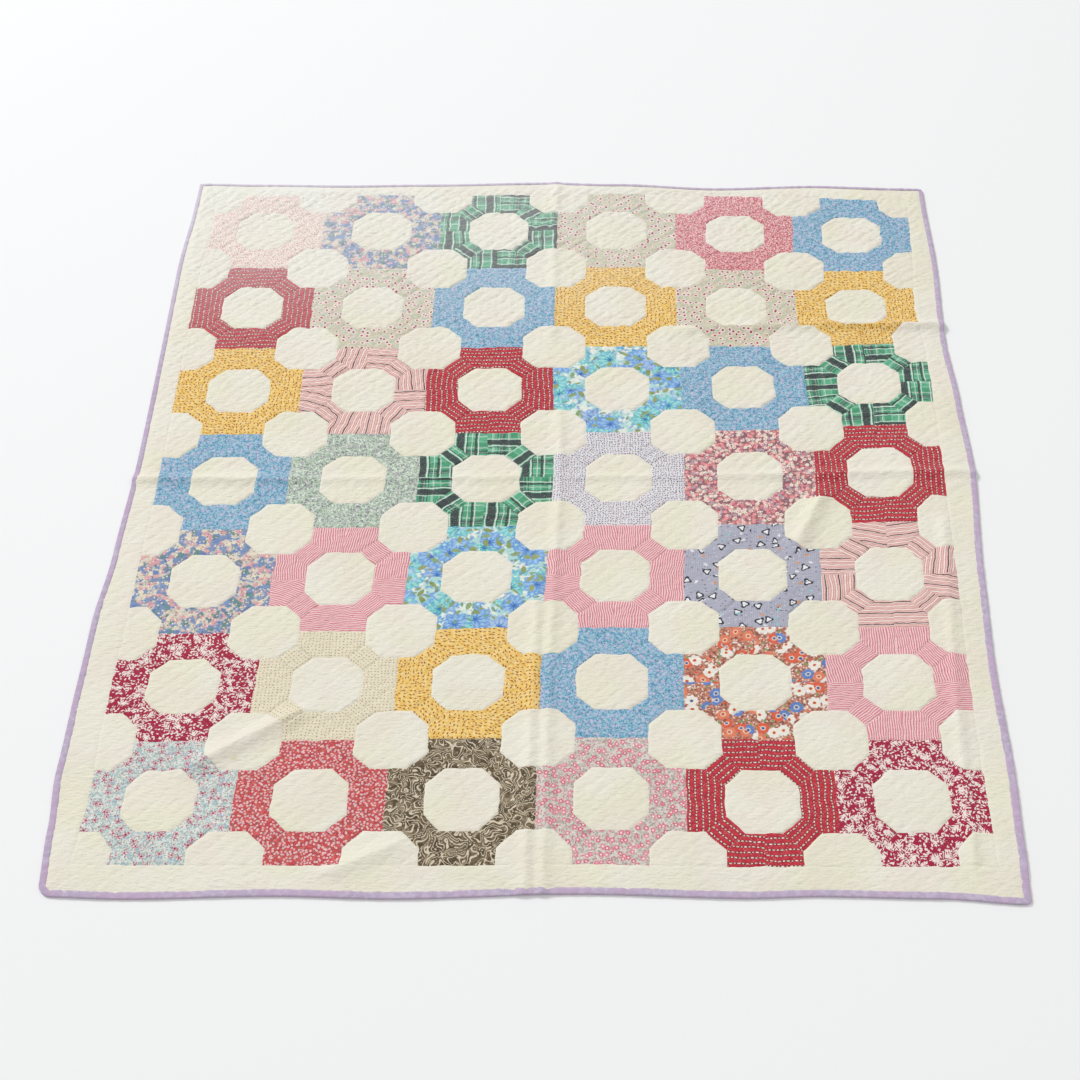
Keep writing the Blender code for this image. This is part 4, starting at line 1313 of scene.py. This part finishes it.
def quilting_lines(top, step, rising):
    """The diagonal quilting lines one way, from edge to edge just inside the binding."""
    inset = QUILTING_INSET
    low_x, high_x, low_y, high_y = LEFT + inset, RIGHT - inset, FOOT + inset, HEAD - inset
    lines = []
    first, last = (low_y - high_x, high_y - low_x) if rising else (low_x + low_y, high_x + high_y)
    for number in range(math.ceil(first / step), math.floor(last / step) + 1):
        if rising:
            start, end = max(low_x, low_y - number * step), min(high_x, high_y - number * step)
        else:
            start, end = max(low_x, number * step - high_y), min(high_x, number * step - low_y)
        if end - start < SHORTEST_LINE:
            continue
        x = np.linspace(start, end, max(2, round((end - start) / (3 * MM))))
        y = x + number * step if rising else number * step - x
        points = top.at(x, y)
        points[:, 2] += STITCH_RISE
        lines.append(points)
    return lines


def make_quilting(sizes, colours):
    """The hand quilting: running stitches on two sets of diagonal lines."""
    top = quilt_top(sizes)
    # Waxed and twisted cotton thread: paler and slightly smoother than the cloth that it sinks into, with
    # darker bands across it painted as shade in the grooves of its twist
    twist_shade = (bands(pitch=1.2, width=0.5, colour="#DDD6C6", along=False, cover=0.5),)
    material = cotton("waxed quilting thread", colours.thread, twist_shade, fade=0.03, creases=0.2, roughness=0.7)
    for name, rising in (("quilting_rising", True), ("quilting_falling", False)):
        stitched(name, quilting_lines(top, sizes.quilting_step, rising), sizes, material)


# ---------------------------------------------------------------- stage

# The camera stands off the middle of the rings by these many rings, and looks along these directions
CAMERA_PLACE = (0.6972, -11.2626, 11.2633)
CAMERA_RIGHT = (0.99886, 0.02990, -0.03725)
CAMERA_UP = (0.00380, 0.72766, 0.68592)
CAMERA_LENS_MM = 69.975

# Soft lights: (name, place, size, power in watts, colour)
LIGHTS = (
    ("window light", (-11.5, 11.8, 12.0), 5.4, 2650, (0.965, 0.985, 1.0)),
    ("fill light", (2.5, -3.0, 6.5), 4.0, 60, (1.0, 0.99, 0.97)),
)
WORLD_STRENGTH = 0.54


def make_camera():
    """The camera at the angle that the quilt is seen from."""
    data = bpy.data.cameras.new("camera")
    data.lens = CAMERA_LENS_MM
    data.sensor_width = 36.0
    camera = bpy.data.objects.new("camera", data)
    right, up = Vector(CAMERA_RIGHT).normalized(), Vector(CAMERA_UP).normalized()
    turn = Matrix((right, up, right.cross(up))).transposed()
    middle = Vector((WIDTH / 2 - CENTRE[0], LENGTH / 2 - CENTRE[1], 3.5 * MM))
    camera.matrix_world = Matrix.Translation(middle + Vector(CAMERA_PLACE) * RING) @ turn.to_4x4()
    bpy.context.scene.collection.objects.link(camera)
    bpy.context.scene.camera = camera


def make_light(name, place, size, power, tint):
    """A soft square light that faces the quilt's middle."""
    data = bpy.data.lights.new(name, "AREA")
    data.size = size
    data.energy = power
    data.color = tint
    light = bpy.data.objects.new(name, data)
    light.location = place
    light.rotation_euler = (-Vector(place)).to_track_quat("-Z", "Y").to_euler()
    bpy.context.scene.collection.objects.link(light)


def make_floor(colours):
    """A plain pale floor under the quilt."""
    material = bpy.data.materials.new("pale studio floor")
    material.use_nodes = True
    shader = material.node_tree.nodes["Principled BSDF"]
    shader.inputs["Base Color"].default_value = linear(colours.floor)
    shader.inputs["Roughness"].default_value = 0.9
    half = FLOOR_SIZE / 2
    mesh = bpy.data.meshes.new("floor")
    corners = [(x, y, -FLOOR_DROP) for x, y in ((-half, -half), (half, -half), (half, half), (-half, half))]
    mesh.from_pydata(corners, [], [(0, 1, 2, 3)])
    mesh.materials.append(material)
    floor = bpy.data.objects.new("floor", mesh)
    bpy.context.scene.collection.objects.link(floor)


def make_stage(colours):
    """Floor, soft lights and camera."""
    make_floor(colours)
    make_camera()
    for light in LIGHTS:
        make_light(*light)
    world = bpy.data.worlds.new("soft studio")
    world.use_nodes = True
    background = world.node_tree.nodes["Background"]
    background.inputs[0].default_value = (1.0, 1.0, 1.0, 1.0)
    background.inputs[1].default_value = WORLD_STRENGTH
    bpy.context.scene.world = world
    bpy.context.scene.view_settings.view_transform = "Standard"


# ---------------------------------------------------------------- operators and panel


class QUILT_OT_stage(bpy.types.Operator):
    """Set the floor, the lights and the camera"""

    bl_idname = "quilt.stage"
    bl_label = "Set the stage"

    def execute(self, context):
        make_stage(context.scene.quilt_colours)
        return {"FINISHED"}


class QUILT_OT_print_patches(bpy.types.Operator):
    """Piece the print rings, one object to each print"""

    bl_idname = "quilt.print_patches"
    bl_label = "Piece the prints"

    def execute(self, context):
        make_print_patches(context.scene.quilt_sizes)
        return {"FINISHED"}


class QUILT_OT_plain_patches(bpy.types.Operator):
    """Piece the plain octagons and the border"""

    bl_idname = "quilt.plain_patches"
    bl_label = "Piece the plain cotton"

    def execute(self, context):
        make_plain_patches(context.scene.quilt_sizes, context.scene.quilt_colours)
        return {"FINISHED"}


class QUILT_OT_quilting(bpy.types.Operator):
    """Sew the diagonal lines of running stitch"""

    bl_idname = "quilt.quilting"
    bl_label = "Quilt the layers"

    def execute(self, context):
        make_quilting(context.scene.quilt_sizes, context.scene.quilt_colours)
        return {"FINISHED"}


class QUILT_OT_binding(bpy.types.Operator):
    """Fold the binding over the four edges"""

    bl_idname = "quilt.binding"
    bl_label = "Bind the edges"

    def execute(self, context):
        make_binding(context.scene.quilt_sizes, context.scene.quilt_colours)
        return {"FINISHED"}


class QUILT_OT_back(bpy.types.Operator):
    bl_idname = "quilt.back"
    bl_label = "Lay the back"

    def execute(self, context):
        back = make_back(context.scene.quilt_sizes, context.scene.quilt_colours)
        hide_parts("quilt")
        return {"FINISHED"}


class QUILT_PT_panel(bpy.types.Panel):
    """The quilt's sizes, colours and steps"""

    bl_idname = "QUILT_PT_panel"
    bl_label = "Patchwork quilt"
    bl_space_type = "VIEW_3D"
    bl_region_type = "UI"
    bl_category = "Quilt"

    def draw(self, context):
        for group in (context.scene.quilt_sizes, context.scene.quilt_colours):
            box = self.layout.box()
            for name in group.__annotations__:
                box.prop(group, name)
        for operator in OPERATORS:
            self.layout.operator(operator.bl_idname)


OPERATORS = (
    QUILT_OT_stage,
    QUILT_OT_print_patches,
    QUILT_OT_plain_patches,
    QUILT_OT_quilting,
    QUILT_OT_binding,
    QUILT_OT_back,
)
CLASSES = (QuiltSizes, QuiltColours, *OPERATORS, QUILT_PT_panel)


def register():
    for item in CLASSES:
        bpy.utils.register_class(item)
    bpy.types.Scene.quilt_sizes = bpy.props.PointerProperty(type=QuiltSizes)
    bpy.types.Scene.quilt_colours = bpy.props.PointerProperty(type=QuiltColours)


def unregister():
    del bpy.types.Scene.quilt_sizes
    del bpy.types.Scene.quilt_colours
    for item in reversed(CLASSES):
        bpy.utils.unregister_class(item)


def main():
    register()
    bpy.ops.quilt.stage()
    bpy.ops.quilt.print_patches()
    bpy.ops.quilt.plain_patches()
    bpy.ops.quilt.quilting()
    bpy.ops.quilt.binding()
    bpy.ops.quilt.back()


if __name__ == "__main__":
    main()
